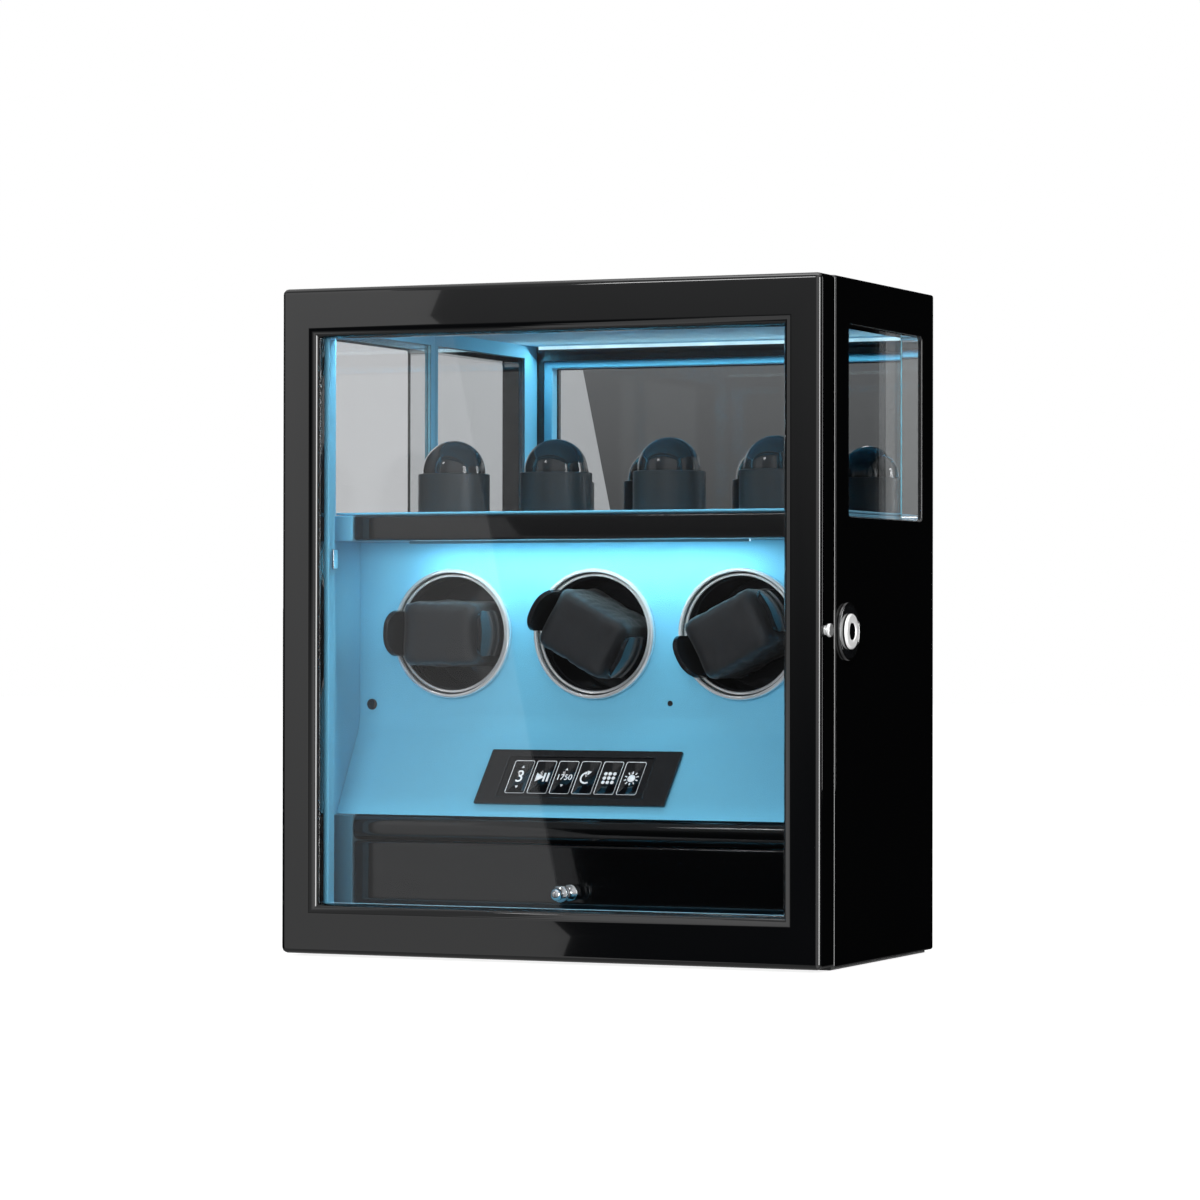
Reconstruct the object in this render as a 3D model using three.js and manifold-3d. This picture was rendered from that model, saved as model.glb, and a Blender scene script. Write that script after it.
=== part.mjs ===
// A watch winder cabinet: a lacquered case with a glazed door, a display shelf with four watch stands,
// three motor-driven winding rotors, a touch control console and an accessory drawer.
// Millimetres. The origin is at the centre of the underside, +X to the right, +Y to the back, +Z up.
import * as THREE from "three";
import { mergeVertices } from "three/addons/utils/BufferGeometryUtils.js";
import Module from "manifold-3d";

const wasm = await Module();
wasm.setup();

// ---- driving dimensions ----------------------------------------------------------------------------
const WIDTH = 346;
const DEPTH = 194;
const HEIGHT = 400;
const BOARD = 15; // case panels
const GAP = 0.3; // clearance between fitted pieces
const RUN = 0.08; // running clearance of a shaft in its bearing
const OVER = 1; // how far a cutter runs past the face that it cuts
const HAIR = 0.01; // overlap that keeps two cut faces from coinciding
const FELT = { thick: 1.5, inset: 4 };

const HALF = WIDTH / 2;
const FRONT = -DEPTH / 2; // outer face of the door
const BACK = DEPTH / 2;
const INNER = HALF - BOARD; // inner face of the side panels
const BASE = FELT.thick + GAP; // underside of the case and the door

const DOOR = {
  thick: 22, gap: 1.2, sill: 32, head: 370, halfOpening: 148.5, jamb: 9, rebate: 5.5, edge: 2, corner: 3,
};
const GLASS = 3.7;
const RETAINER = { halfOpening: 146.5, sill: 35.5, head: 366.5 };
const CASE_FRONT = FRONT + DOOR.thick + DOOR.gap;
const BACK_PANEL = 10.5;
const LINING_FRONT = FRONT + 40.5; // front face of the shelf, the divider and the drawer
const LINING_HALF = 145; // half width of the black fronts

const WINDOW = { front: 46.8, back: 172.1, sill: 262, head: 372.7, lip: 4, glass: 2.2 };
const SHELF = { low: 249.5, top: 264.8, mat: 1.5, matInset: 2, nosing: 11, corner: 2, edge: 1 };
const MIRROR_THICK = 2;
const DISPLAY_LIGHT = { front: 25, back: 33, tall: 4.5, inset: 4 };
const WINDER_LIGHT = { front: 46, back: 54, tall: 4, half: 110 };
const DIVIDER = { low: 68.5, top: 83.7, nose: 6 };
const PANEL = { face: 76, thick: 4, crease: 138, toe: 44 }; // winder panel: depths from the door's face
const LENS = { x: -149.6, height: 150, radius: 3.3, length: 4 };

const ROTOR = { pitch: 94.3, height: 193.5, angles: [0, 28.5, -27.5] };
// The bezel's section as [radius, height off the panel].
const BEZEL = [[36.8, 0], [39.3, 0], [39.3, 2.5], [38.4, 3.9], [37.6, 4.5], [36.8, 3.3]];
const CUP = { outer: 36.2, clear: 1, wall: 2, floor: 3, front: 74, depth: 46, boss: 12, hub: 5, hubEnd: 141 };
const EAR = { outer: 33, thick: 3, front: 45.4, back: 111, halfAngle: 0.39, bridge: 3, bridgeHalf: 9 };
const PAD = { halfWidth: 27, halfHeight: 20.5, front: 50, corner: 7, edge: 3 };
const GEAR = { teeth: 30, width: 5, face: 123.5 };
const PINION = { teeth: 10 };
const MODULE = 1.6; // pitch diameter of a gear over its number of teeth
const GEAR_DROP = (MODULE * (GEAR.teeth + PINION.teeth)) / 2; // from a rotor's axis down to its motor's
const TOOTH = { root: 1, rootHalf: 1.35, tip: 0.75, tipHalf: 0.55 }; // off the pitch circle, half widths
const DRIVE_PLATE = { face: 131, thick: 3 };
const MOTOR = { radius: 12, length: 30, shaft: 1.6, clear: 2 };

const STAND = {
  xs: [-106.1, -37.3, 37.3, 106.1], depth: 101, collar: 22, collarHeight: 24.5, lip: 1.2, dome: 19.3,
};
const DRAWER = {
  low: 17.4, top: 67.9, front: 10, corner: 1.5, edge: 1,
  halfWidth: 140, back: 170, wall: 5, floor: 4, side: 60,
};
const KNOB = { height: 40, length: 24.7 };
// The knob's section as [radius, distance from the tip].
const KNOB_PROFILE = [
  [0, 0], [2.6, 0.8], [3.8, 3.2], [2.8, 6], [4.2, 7.5], [4.2, 9.5],
  [2, 10.5], [2, 20.7], [4.6, 22.2], [5, 24.7], [0, 24.7],
];
const LOCK = {
  depth: 43, height: 195, barrel: 10, flange: 17, flangeThick: 1.5, flangeEdge: 0.5,
  ring: 10.3, ringProud: 1.6, ringEdge: 0.8, dish: 6, dishFall: 1,
};
const BOLT = { x: 165.5, width: 5, height: 8, length: 8, clear: 1 };
const STRIKE = { width: 11, height: 20, thick: 1.2, mortise: 8, clear: 0.8 };
const PULL = { depth: 6.5, height: 195.7 };
// The pull's section as [radius, distance from the door].
const PULL_PROFILE = [[0, 0], [2.6, 0], [2.6, 1.4], [4, 1.8], [4, 3.2], [3, 3.8], [0, 3.8]];
const HINGE = { heights: [62, 338], length: 46, leaf: 1.3, width: 14, knuckle: 2.6, pin: 1.2, standOff: 0.6 };
const INLET = {
  x: 120, height: 110, flange: 8, flangeThick: 1.5, seat: 2, barrel: 5, bore: 3, depth: 22, socket: 10,
};
const CONTROL = {
  slopeLow: 7.8, slopeHigh: 45.5, topLeft: -62.5, topRight: 61.5, skew: 4.6, thick: 2.6, edge: 0.8,
};
const SCREEN = { low: 12.5, high: 41, left: -49, right: 45, skew: 2, sunk: 1.1, thick: 0.8 };

// ---- materials -------------------------------------------------------------------------------------
const LACQUER = { color: 0x0b0c0e, roughness: 0.08, metalness: 0 };
const LINING = { color: 0x64a7c9, roughness: 0.75, metalness: 0 };
const CHROME = { color: 0xd6d8da, roughness: 0.08, metalness: 1 };
const GLOSS_BLACK = { color: 0x101214, roughness: 0.2, metalness: 0 };
const VELVET = { color: 0x16181b, roughness: 0.85, metalness: 0 };
const CLEAR_GLASS = { color: 0xb9c6cc, roughness: 0.02, metalness: 0, transparent: true, opacity: 0.25 };
const MIRROR = { color: 0xc9ced2, roughness: 0.02, metalness: 1 };
const LIGHT_BAR = { color: 0xbfeeff, roughness: 0.4, metalness: 0 };
const FELT_BLACK = { color: 0x1b1c1e, roughness: 0.95, metalness: 0 };
const STEEL = { color: 0x9a9ea2, roughness: 0.35, metalness: 1 };
const NYLON = { color: 0xd8d8d2, roughness: 0.5, metalness: 0 };
const BOARD_BLACK = { color: 0x1a1c1e, roughness: 0.6, metalness: 0 };

const object = new THREE.Group();

function add(name, geometry, finish, parent = object) {
  const mesh = new THREE.Mesh(geometry, new THREE.MeshStandardMaterial(finish));
  mesh.name = name;
  parent.add(mesh);
  return mesh;
}

// ---- solids ----------------------------------------------------------------------------------------
function solid(geometry) {
  const bare = geometry.clone();
  bare.deleteAttribute("normal");
  bare.deleteAttribute("uv");
  const merged = mergeVertices(bare, 1e-4);
  return new wasm.Manifold(
    new wasm.Mesh({
      numProp: 3,
      vertProperties: new Float32Array(merged.attributes.position.array),
      triVerts: new Uint32Array(merged.index.array),
    }),
  );
}

function geometryOf(manifold) {
  const mesh = manifold.getMesh();
  const geometry = new THREE.BufferGeometry();
  geometry.setAttribute("position", new THREE.BufferAttribute(mesh.vertProperties, 3));
  geometry.setIndex(new THREE.BufferAttribute(mesh.triVerts, 1));
  return geometry;
}

function cut(geometry, ...cutters) {
  return geometryOf(cutters.reduce((left, cutter) => left.subtract(solid(cutter)), solid(geometry)));
}

function join(geometry, ...others) {
  return geometryOf(others.reduce((left, other) => left.add(solid(other)), solid(geometry)));
}

function box(x0, x1, y0, y1, z0, z1) {
  const geometry = new THREE.BoxGeometry(x1 - x0, y1 - y0, z1 - z0);
  return geometry.translate((x0 + x1) / 2, (y0 + y1) / 2, (z0 + z1) / 2);
}

// A depth measured from the door's outer face.
function behind(distance) {
  return FRONT + distance;
}

// A turned piece: [radius, along] points, counter-clockwise, turned about the axis from `at`.
function turned(profile, segments, axis, at) {
  const points = profile.map(([radius, along]) => new THREE.Vector2(radius, along));
  const geometry = new THREE.LatheGeometry(points, segments);
  if (axis === "x") geometry.rotateZ(-Math.PI / 2);
  if (axis === "z") geometry.rotateX(Math.PI / 2);
  return geometry.translate(...at);
}

function rod(radius, from, to, segments, axis, at) {
  return turned([[0, from], [radius, from], [radius, to], [0, to]], segments, axis, at);
}

function roundedRectangle(x0, x1, z0, z1, radius) {
  const shape = new THREE.Shape();
  shape.moveTo(x0 + radius, z0);
  shape.lineTo(x1 - radius, z0);
  shape.absarc(x1 - radius, z0 + radius, radius, -Math.PI / 2, 0);
  shape.lineTo(x1, z1 - radius);
  shape.absarc(x1 - radius, z1 - radius, radius, 0, Math.PI / 2);
  shape.lineTo(x0 + radius, z1);
  shape.absarc(x0 + radius, z1 - radius, radius, Math.PI / 2, Math.PI);
  shape.lineTo(x0, z0 + radius);
  shape.absarc(x0 + radius, z0 + radius, radius, Math.PI, Math.PI * 1.5);
  return shape;
}

// A plate whose outline lies in the XZ plane, from depth y0 to y1; `edge` rounds both its rims.
function plate(shape, y0, y1, edge = 0, curveSegments = 3) {
  const geometry = new THREE.ExtrudeGeometry(shape, {
    depth: y1 - y0 - 2 * edge,
    bevelEnabled: edge > 0,
    bevelThickness: edge,
    bevelSize: edge,
    bevelOffset: -edge,
    bevelSegments: 2,
    curveSegments,
  });
  return geometry.rotateX(Math.PI / 2).translate(0, y1 - edge, 0);
}

// A profile in the YZ plane run from x0 to x1.
function moulding(points, x0, x1) {
  const shape = new THREE.Shape(points.map(([y, z]) => new THREE.Vector2(y, z)));
  const geometry = new THREE.ExtrudeGeometry(shape, { depth: x1 - x0, bevelEnabled: false });
  return geometry.rotateX(Math.PI / 2).rotateZ(Math.PI / 2).translate(x0, 0, 0);
}

// ---- case ------------------------------------------------------------------------------------------
const TOP_LOW = HEIGHT - BOARD;
const BOTTOM_TOP = BASE + BOARD;
const BACK_FACE = BACK - BACK_PANEL;

function sidePanel(side) {
  const [inner, outer] = [side * INNER, side * HALF].sort((a, b) => a - b);
  const board = box(inner, outer, CASE_FRONT, BACK_FACE - GAP, BOTTOM_TOP + GAP, TOP_LOW - GAP);
  const across = [side * HALF - 2 * BOARD, side * HALF + 2 * BOARD];
  const opening = box(...across, behind(WINDOW.front), behind(WINDOW.back), WINDOW.sill, WINDOW.head);
  const seat = [side * (INNER - OVER), side * (INNER + WINDOW.glass + GAP)].sort((a, b) => a - b);
  const rebate = box(
    ...seat,
    behind(WINDOW.front - WINDOW.lip),
    behind(WINDOW.back + WINDOW.lip),
    WINDOW.sill - WINDOW.lip,
    WINDOW.head + WINDOW.lip,
  );
  return cut(board, opening, rebate, ...hingeSeats(side, CASE_FRONT), ...(side > 0 ? lockSeats() : []));
}

function windowGlass(side) {
  const fit = WINDOW.lip - GAP;
  const [low, high] = [side * INNER, side * (INNER + WINDOW.glass)].sort((a, b) => a - b);
  return box(
    low, high,
    behind(WINDOW.front - fit), behind(WINDOW.back + fit),
    WINDOW.sill - fit, WINDOW.head + fit,
  );
}

function lockSeats() {
  const at = [0, behind(LOCK.depth), LOCK.height];
  const barrel = rod(LOCK.barrel + GAP, INNER - OVER, HALF + OVER, 32, "x", at);
  const reach = GAP + BOLT.width / 2;
  const tall = GAP + BOLT.height / 2;
  const channel = box(
    BOLT.x - reach, BOLT.x + reach,
    CASE_FRONT - OVER, behind(LOCK.depth),
    LOCK.height - tall, LOCK.height + tall,
  );
  return [barrel, channel];
}

function inletSeat() {
  const at = [INLET.x, 0, INLET.height];
  const hole = rod(INLET.barrel + GAP, BACK_FACE - OVER, BACK + OVER, 24, "y", at);
  const counterbore = rod(INLET.flange + GAP, BACK - INLET.seat, BACK + OVER, 24, "y", at);
  return [hole, counterbore];
}

function buildCase() {
  const across = [-HALF, HALF];
  add("case_bottom", box(...across, CASE_FRONT, BACK, BASE, BOTTOM_TOP), LACQUER);
  add("case_top", box(...across, CASE_FRONT, BACK, TOP_LOW, HEIGHT), LACQUER);
  add("case_left_side", sidePanel(-1), LACQUER);
  add("case_right_side", sidePanel(1), LACQUER);
  const back = box(...across, BACK_FACE, BACK, BOTTOM_TOP + GAP, TOP_LOW - GAP);
  add("case_back", cut(back, ...inletSeat()), LACQUER);
  add("left_window_glass", windowGlass(-1), CLEAR_GLASS);
  add("right_window_glass", windowGlass(1), CLEAR_GLASS);
  const inset = FELT.inset;
  const felt = box(-HALF + inset, HALF - inset, CASE_FRONT + inset, BACK - inset, 0, FELT.thick);
  add("base_felt", felt, FELT_BLACK);
  buildInlet();
}

function buildInlet() {
  const face = BACK - GAP;
  const profile = [
    [0, face - INLET.depth],
    [INLET.barrel, face - INLET.depth],
    [INLET.barrel, face - INLET.flangeThick],
    [INLET.flange, face - INLET.flangeThick],
    [INLET.flange, face],
    [INLET.bore, face],
    [INLET.bore, face - INLET.socket],
    [0, face - INLET.socket],
  ];
  add("dc_inlet", turned(profile, 24, "y", [INLET.x, 0, INLET.height]), GLOSS_BLACK);
}

// ---- display compartment ---------------------------------------------------------------------------
const LINER = INNER - GAP; // half width of what fits between the sides
const MAT_TOP = SHELF.top + GAP + SHELF.mat;

function buildDisplay() {
  const back = BACK_FACE - GAP;
  const mirrorFace = back - MIRROR_THICK;
  add("display_mirror", box(-LINER, LINER, mirrorFace, back, MAT_TOP + GAP, TOP_LOW - GAP), MIRROR);
  const board = box(-LINER, LINER, LINING_FRONT, back, SHELF.low, SHELF.top);
  const recess = box(
    -LINING_HALF - GAP, LINING_HALF + GAP,
    LINING_FRONT - OVER, LINING_FRONT + SHELF.nosing + GAP,
    SHELF.low - OVER, SHELF.top + OVER,
  );
  add("display_shelf", cut(board, recess), LINING);
  const nosing = roundedRectangle(-LINING_HALF, LINING_HALF, SHELF.low, SHELF.top, SHELF.corner);
  add("shelf_nosing", plate(nosing, LINING_FRONT, LINING_FRONT + SHELF.nosing, SHELF.edge), LACQUER);
  const matFront = LINING_FRONT + SHELF.matInset;
  add("shelf_mat", box(-LINER, LINER, matFront, back, SHELF.top + GAP, MAT_TOP), LINING);
  const { front, back: rear, tall, inset } = DISPLAY_LIGHT;
  const roof = TOP_LOW - GAP;
  const bar = box(inset - LINER, LINER - inset, behind(front), behind(rear), roof - tall, roof);
  add("display_light_bar", bar, LIGHT_BAR);
  STAND.xs.forEach((x, index) => add("watch_stand_" + (index + 1), watchStand(x), GLOSS_BLACK));
}

function watchStand(x) {
  const foot = MAT_TOP + GAP;
  const shoulder = foot + STAND.collarHeight;
  const domeBase = shoulder + STAND.lip;
  const profile = [[0, foot], [STAND.collar, foot], [STAND.collar, shoulder], [STAND.dome, shoulder]];
  const steps = 6;
  for (let step = 0; step <= steps; step += 1) {
    const angle = (step / steps) * (Math.PI / 2);
    const radius = step === steps ? 0 : STAND.dome * Math.cos(angle);
    profile.push([radius, domeBase + STAND.dome * Math.sin(angle)]);
  }
  return turned(profile, 28, "z", [x, behind(STAND.depth), 0]);
}

// ---- winder compartment ----------------------------------------------------------------------------
function rotorX(index) {
  return (index - 1) * ROTOR.pitch;
}

function buildWinderPanel() {
  const slope = Math.atan2(PANEL.face - PANEL.toe, PANEL.crease - DIVIDER.top);
  const inside = PANEL.thick / Math.cos(slope);
  const foot = DIVIDER.top + GAP;
  const bend = PANEL.thick * Math.tan(slope / 2);
  const outline = [
    [behind(PANEL.toe), foot],
    [behind(PANEL.toe) + inside, foot],
    [behind(PANEL.face) + PANEL.thick, PANEL.crease - bend],
    [behind(PANEL.face) + PANEL.thick, SHELF.low - GAP],
    [behind(PANEL.face), SHELF.low - GAP],
    [behind(PANEL.face), PANEL.crease],
  ];
  const through = [behind(PANEL.face) - OVER, behind(PANEL.face) + PANEL.thick + OVER];
  const openings = [0, 1, 2].map((index) =>
    rod(CUP.outer + CUP.clear, ...through, 36, "y", [rotorX(index), 0, ROTOR.height]),
  );
  const lensAt = [LENS.x, behind(PANEL.face), LENS.height];
  const lensHole = rod(LENS.radius + GAP, -OVER, PANEL.thick + OVER, 16, "y", lensAt);
  add("winder_panel", cut(moulding(outline, -LINER, LINER), ...openings, lensHole), LINING);
  add("receiver_lens", rod(LENS.radius, -GAP, LENS.length, 16, "y", lensAt), GLOSS_BLACK);
  const { front, back, tall, half } = WINDER_LIGHT;
  const ceiling = SHELF.low - GAP;
  const bar = box(-half, half, behind(front), behind(back), ceiling - tall, ceiling);
  add("winder_light_bar", bar, LIGHT_BAR);
  buildControl(slope);
}

// The console slopes back from its toe; its own plane has x across and z up the slope.
function parallelogram(low, high, left, right, skew) {
  return new THREE.Shape([
    new THREE.Vector2(left - skew, low),
    new THREE.Vector2(right - skew, low),
    new THREE.Vector2(right, high),
    new THREE.Vector2(left, high),
  ]);
}

function buildControl(slope) {
  const console = new THREE.Group();
  console.position.set(0, behind(PANEL.toe), DIVIDER.top);
  console.rotation.x = -slope;
  object.add(console);
  const frame = parallelogram(
    CONTROL.slopeLow, CONTROL.slopeHigh, CONTROL.topLeft, CONTROL.topRight, CONTROL.skew,
  );
  const screen = parallelogram(SCREEN.low, SCREEN.high, SCREEN.left, SCREEN.right, SCREEN.skew);
  const back = -GAP;
  const face = back - CONTROL.thick;
  const seat = parallelogram(
    SCREEN.low - GAP, SCREEN.high + GAP, SCREEN.left - GAP, SCREEN.right + GAP, SCREEN.skew,
  );
  const pocket = plate(seat, face - OVER, face + SCREEN.sunk + SCREEN.thick + GAP);
  add("control_bezel", cut(plate(frame, face, back, CONTROL.edge), pocket), GLOSS_BLACK, console);
  const glass = plate(screen, face + SCREEN.sunk, face + SCREEN.sunk + SCREEN.thick);
  add("control_screen", glass, GLOSS_BLACK, console);
}

// ---- rotors ----------------------------------------------------------------------------------------
// Straight-flanked teeth on their pitch circle; the first tooth is centred at `start`.
function gearShape(teeth, start) {
  const pitch = (MODULE * teeth) / 2;
  const rings = [
    { radius: pitch - TOOTH.root, half: TOOTH.rootHalf },
    { radius: pitch + TOOTH.tip, half: TOOTH.tipHalf },
  ];
  const shape = new THREE.Shape();
  for (let tooth = 0; tooth < teeth; tooth += 1) {
    const middle = start + (tooth * 2 * Math.PI) / teeth;
    const corners = [
      [rings[0], -1],
      [rings[1], -1],
      [rings[1], 1],
      [rings[0], 1],
    ];
    corners.forEach(([ring, side], index) => {
      const angle = middle + (side * ring.half) / ring.radius;
      const point = [ring.radius * Math.cos(angle), ring.radius * Math.sin(angle)];
      if (tooth === 0 && index === 0) shape.moveTo(...point);
      else shape.lineTo(...point);
    });
  }
  shape.closePath();
  return shape;
}

function rotorCup() {
  const back = CUP.front + CUP.depth;
  const inside = CUP.outer - CUP.wall;
  const profile = [
    [0, back - CUP.floor],
    [inside, back - CUP.floor],
    [inside, CUP.front],
    [CUP.outer, CUP.front],
    [CUP.outer, back],
    [CUP.boss, back],
    [CUP.boss, GEAR.face + GEAR.width],
    [CUP.hub, GEAR.face + GEAR.width],
    [CUP.hub, CUP.hubEnd],
    [0, CUP.hubEnd],
  ];
  const shell = turned(profile, 40, "y", [0, FRONT, 0]);
  const teeth = plate(
    gearShape(GEAR.teeth, -Math.PI / 2 + Math.PI / GEAR.teeth),
    behind(GEAR.face),
    behind(GEAR.face + GEAR.width),
  );
  return join(shell, teeth);
}

function cushionFrame() {
  const arc = (middle) => {
    const shape = new THREE.Shape();
    shape.absarc(0, 0, EAR.outer, middle - EAR.halfAngle, middle + EAR.halfAngle);
    const inner = EAR.outer - EAR.thick;
    shape.absarc(0, 0, inner, middle + EAR.halfAngle, middle - EAR.halfAngle, true);
    shape.closePath();
    return plate(shape, behind(EAR.front), behind(EAR.back), 0, 6);
  };
  const reach = EAR.outer - EAR.thick / 2;
  const { bridge: thick, bridgeHalf: half } = EAR;
  const bridge = box(-reach, reach, behind(EAR.back - thick), behind(EAR.back), -half, half);
  return join(arc(0), arc(Math.PI), bridge);
}

function cushionPad() {
  const { halfWidth, halfHeight } = PAD;
  const outline = roundedRectangle(-halfWidth, halfWidth, -halfHeight, halfHeight, PAD.corner);
  return plate(outline, behind(PAD.front), behind(EAR.back - EAR.bridge) - GAP, PAD.edge);
}

function buildRotor(index) {
  const place = new THREE.Group();
  place.position.set(rotorX(index), 0, ROTOR.height);
  object.add(place);
  const name = "rotor_" + (index + 1);
  const rim = BEZEL.map(([radius, proud]) => [radius, PANEL.face - GAP - proud]);
  add(name + "_bezel", turned([...rim, rim[0]].reverse(), 48, "y", [0, FRONT, 0]), CHROME, place);
  add(name + "_cup", rotorCup(), GLOSS_BLACK, place);
  const holder = new THREE.Group();
  holder.rotation.y = THREE.MathUtils.degToRad(ROTOR.angles[index]);
  place.add(holder);
  add(name + "_cushion_frame", cushionFrame(), GLOSS_BLACK, holder);
  add(name + "_cushion_pad", cushionPad(), VELVET, holder);
  const [wheelFront, wheelBack] = [behind(GEAR.face), behind(GEAR.face + GEAR.width)];
  const wheel = plate(gearShape(PINION.teeth, Math.PI / 2), wheelFront, wheelBack);
  const bore = rod(MOTOR.shaft + RUN, wheelFront - OVER, wheelBack + OVER, 24, "y", [0, 0, 0]);
  add(name + "_pinion", cut(wheel, bore).translate(0, 0, -GEAR_DROP), NYLON, place);
  const start = DRIVE_PLATE.face + DRIVE_PLATE.thick + GAP;
  const body = [
    [0, GEAR.face],
    [MOTOR.shaft, GEAR.face],
    [MOTOR.shaft, start],
    [MOTOR.radius, start],
    [MOTOR.radius, start + MOTOR.length],
    [0, start + MOTOR.length],
  ];
  add(name + "_motor", turned(body, 24, "y", [0, FRONT, -GEAR_DROP]), STEEL, place);
}

function buildDrivePlate() {
  const { face, thick } = DRIVE_PLATE;
  const board = box(-LINER, LINER, behind(face), behind(face + thick), DIVIDER.top + GAP, SHELF.low - GAP);
  const through = [behind(face) - OVER, behind(face + thick) + OVER];
  const holes = [0, 1, 2].flatMap((index) => [
    rod(CUP.hub + RUN, ...through, 40, "y", [rotorX(index), 0, ROTOR.height]),
    rod(MOTOR.shaft + MOTOR.clear, ...through, 16, "y", [rotorX(index), 0, ROTOR.height - GEAR_DROP]),
  ]);
  add("drive_plate", cut(board, ...holes), BOARD_BLACK);
}

// ---- divider and drawer ----------------------------------------------------------------------------
function buildLower() {
  const back = BACK_FACE - GAP;
  const nose = [];
  const steps = 5;
  const radius = DIVIDER.nose;
  for (let step = 0; step <= steps; step += 1) {
    const angle = Math.PI + (step / steps) * (Math.PI / 2);
    const y = LINING_FRONT + radius + radius * Math.cos(angle);
    nose.push([y, DIVIDER.low + radius + radius * Math.sin(angle)]);
  }
  const top = nose.map(([y, z]) => [y, DIVIDER.low + DIVIDER.top - z]).reverse();
  const outline = [...nose, [back, DIVIDER.low], [back, DIVIDER.top], ...top];
  const half = LINING_HALF - GAP;
  add("divider", moulding(outline, -half, half), LACQUER);
  [-1, 1].forEach((side) => {
    const [low, high] = [side * LINING_HALF, side * LINER].sort((a, b) => a - b);
    const cheek = box(low, high, LINING_FRONT, back, BOTTOM_TOP + GAP, DIVIDER.top);
    add(side < 0 ? "left_cheek" : "right_cheek", cheek, LINING);
  });
  buildDrawer();
}

function buildDrawer() {
  const half = LINING_HALF - 2 * GAP;
  const face = roundedRectangle(-half, half, DRAWER.low, DRAWER.top, DRAWER.corner);
  add("drawer_front", plate(face, LINING_FRONT, LINING_FRONT + DRAWER.front, DRAWER.edge), LACQUER);
  const start = LINING_FRONT + DRAWER.front + GAP;
  const tray = box(-DRAWER.halfWidth, DRAWER.halfWidth, start, behind(DRAWER.back), DRAWER.low, DRAWER.side);
  const hollow = box(
    -DRAWER.halfWidth + DRAWER.wall, DRAWER.halfWidth - DRAWER.wall,
    start + DRAWER.wall, behind(DRAWER.back) - DRAWER.wall,
    DRAWER.low + DRAWER.floor, DRAWER.side + OVER,
  );
  add("drawer_tray", cut(tray, hollow), LINING);
  const tip = LINING_FRONT - GAP - KNOB.length;
  const profile = KNOB_PROFILE.map(([radius, along]) => [radius, tip + along]);
  add("drawer_knob", turned(profile, 24, "y", [0, 0, KNOB.height]), CHROME);
}

// ---- door ------------------------------------------------------------------------------------------
const DOOR_BACK = FRONT + DOOR.thick;

function buildDoor() {
  const { sill, head, halfOpening, rebate, jamb } = DOOR;
  const outline = roundedRectangle(-HALF, HALF, BASE, HEIGHT, DOOR.corner);
  outline.holes.push(roundedRectangle(-halfOpening, halfOpening, sill, head, DOOR.corner));
  const stock = plate(outline, FRONT, DOOR_BACK, DOOR.edge);
  const side = halfOpening + rebate;
  const seat = box(-side, side, FRONT + jamb, DOOR_BACK + OVER, sill - rebate, head + rebate);
  const seats = [seat, ...hingeSeats(-1, DOOR_BACK - HINGE.leaf - GAP), ...strikeSeats()];
  add("door_frame", cut(stock, ...seats), LACQUER);
  const pane = box(
    -side + GAP, side - GAP,
    FRONT + jamb + GAP, FRONT + jamb + GAP + GLASS,
    sill - rebate + GAP, head + rebate - GAP,
  );
  add("door_glass", pane, CLEAR_GLASS);
  const start = FRONT + jamb + GLASS + 2 * GAP;
  const ring = box(-side + GAP, side - GAP, start, DOOR_BACK - GAP, sill - rebate + GAP, head + rebate - GAP);
  const { halfOpening: clear, sill: low, head: high } = RETAINER;
  const opening = box(-clear, clear, start - OVER, DOOR_BACK + OVER, low, high);
  add("glass_retainer", cut(ring, opening), LINING);
  const stud = PULL_PROFILE.map(([radius, along]) => [radius, HALF + GAP + along]);
  add("door_pull", turned(stud, 24, "x", [0, behind(PULL.depth), PULL.height]), CHROME);
  buildStrike();
}

function strikeSeats() {
  const halfWidth = STRIKE.width / 2 + GAP;
  const halfHeight = STRIKE.height / 2 + GAP;
  const pocket = box(
    BOLT.x - halfWidth, BOLT.x + halfWidth,
    DOOR_BACK - STRIKE.thick - GAP, DOOR_BACK + OVER,
    LOCK.height - halfHeight, LOCK.height + halfHeight,
  );
  const wide = BOLT.width / 2 + BOLT.clear;
  const tall = BOLT.height / 2 + BOLT.clear;
  const mortise = box(
    BOLT.x - wide, BOLT.x + wide,
    DOOR_BACK - STRIKE.mortise, DOOR_BACK + OVER,
    LOCK.height - tall, LOCK.height + tall,
  );
  return [pocket, mortise];
}

function buildStrike() {
  const plateBox = box(
    BOLT.x - STRIKE.width / 2, BOLT.x + STRIKE.width / 2,
    DOOR_BACK - STRIKE.thick, DOOR_BACK,
    LOCK.height - STRIKE.height / 2, LOCK.height + STRIKE.height / 2,
  );
  const wide = BOLT.width / 2 + STRIKE.clear;
  const tall = BOLT.height / 2 + STRIKE.clear;
  const slot = box(
    BOLT.x - wide, BOLT.x + wide,
    DOOR_BACK - STRIKE.thick - OVER, DOOR_BACK + OVER,
    LOCK.height - tall, LOCK.height + tall,
  );
  add("strike_plate", cut(plateBox, slot), CHROME);
}

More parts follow.
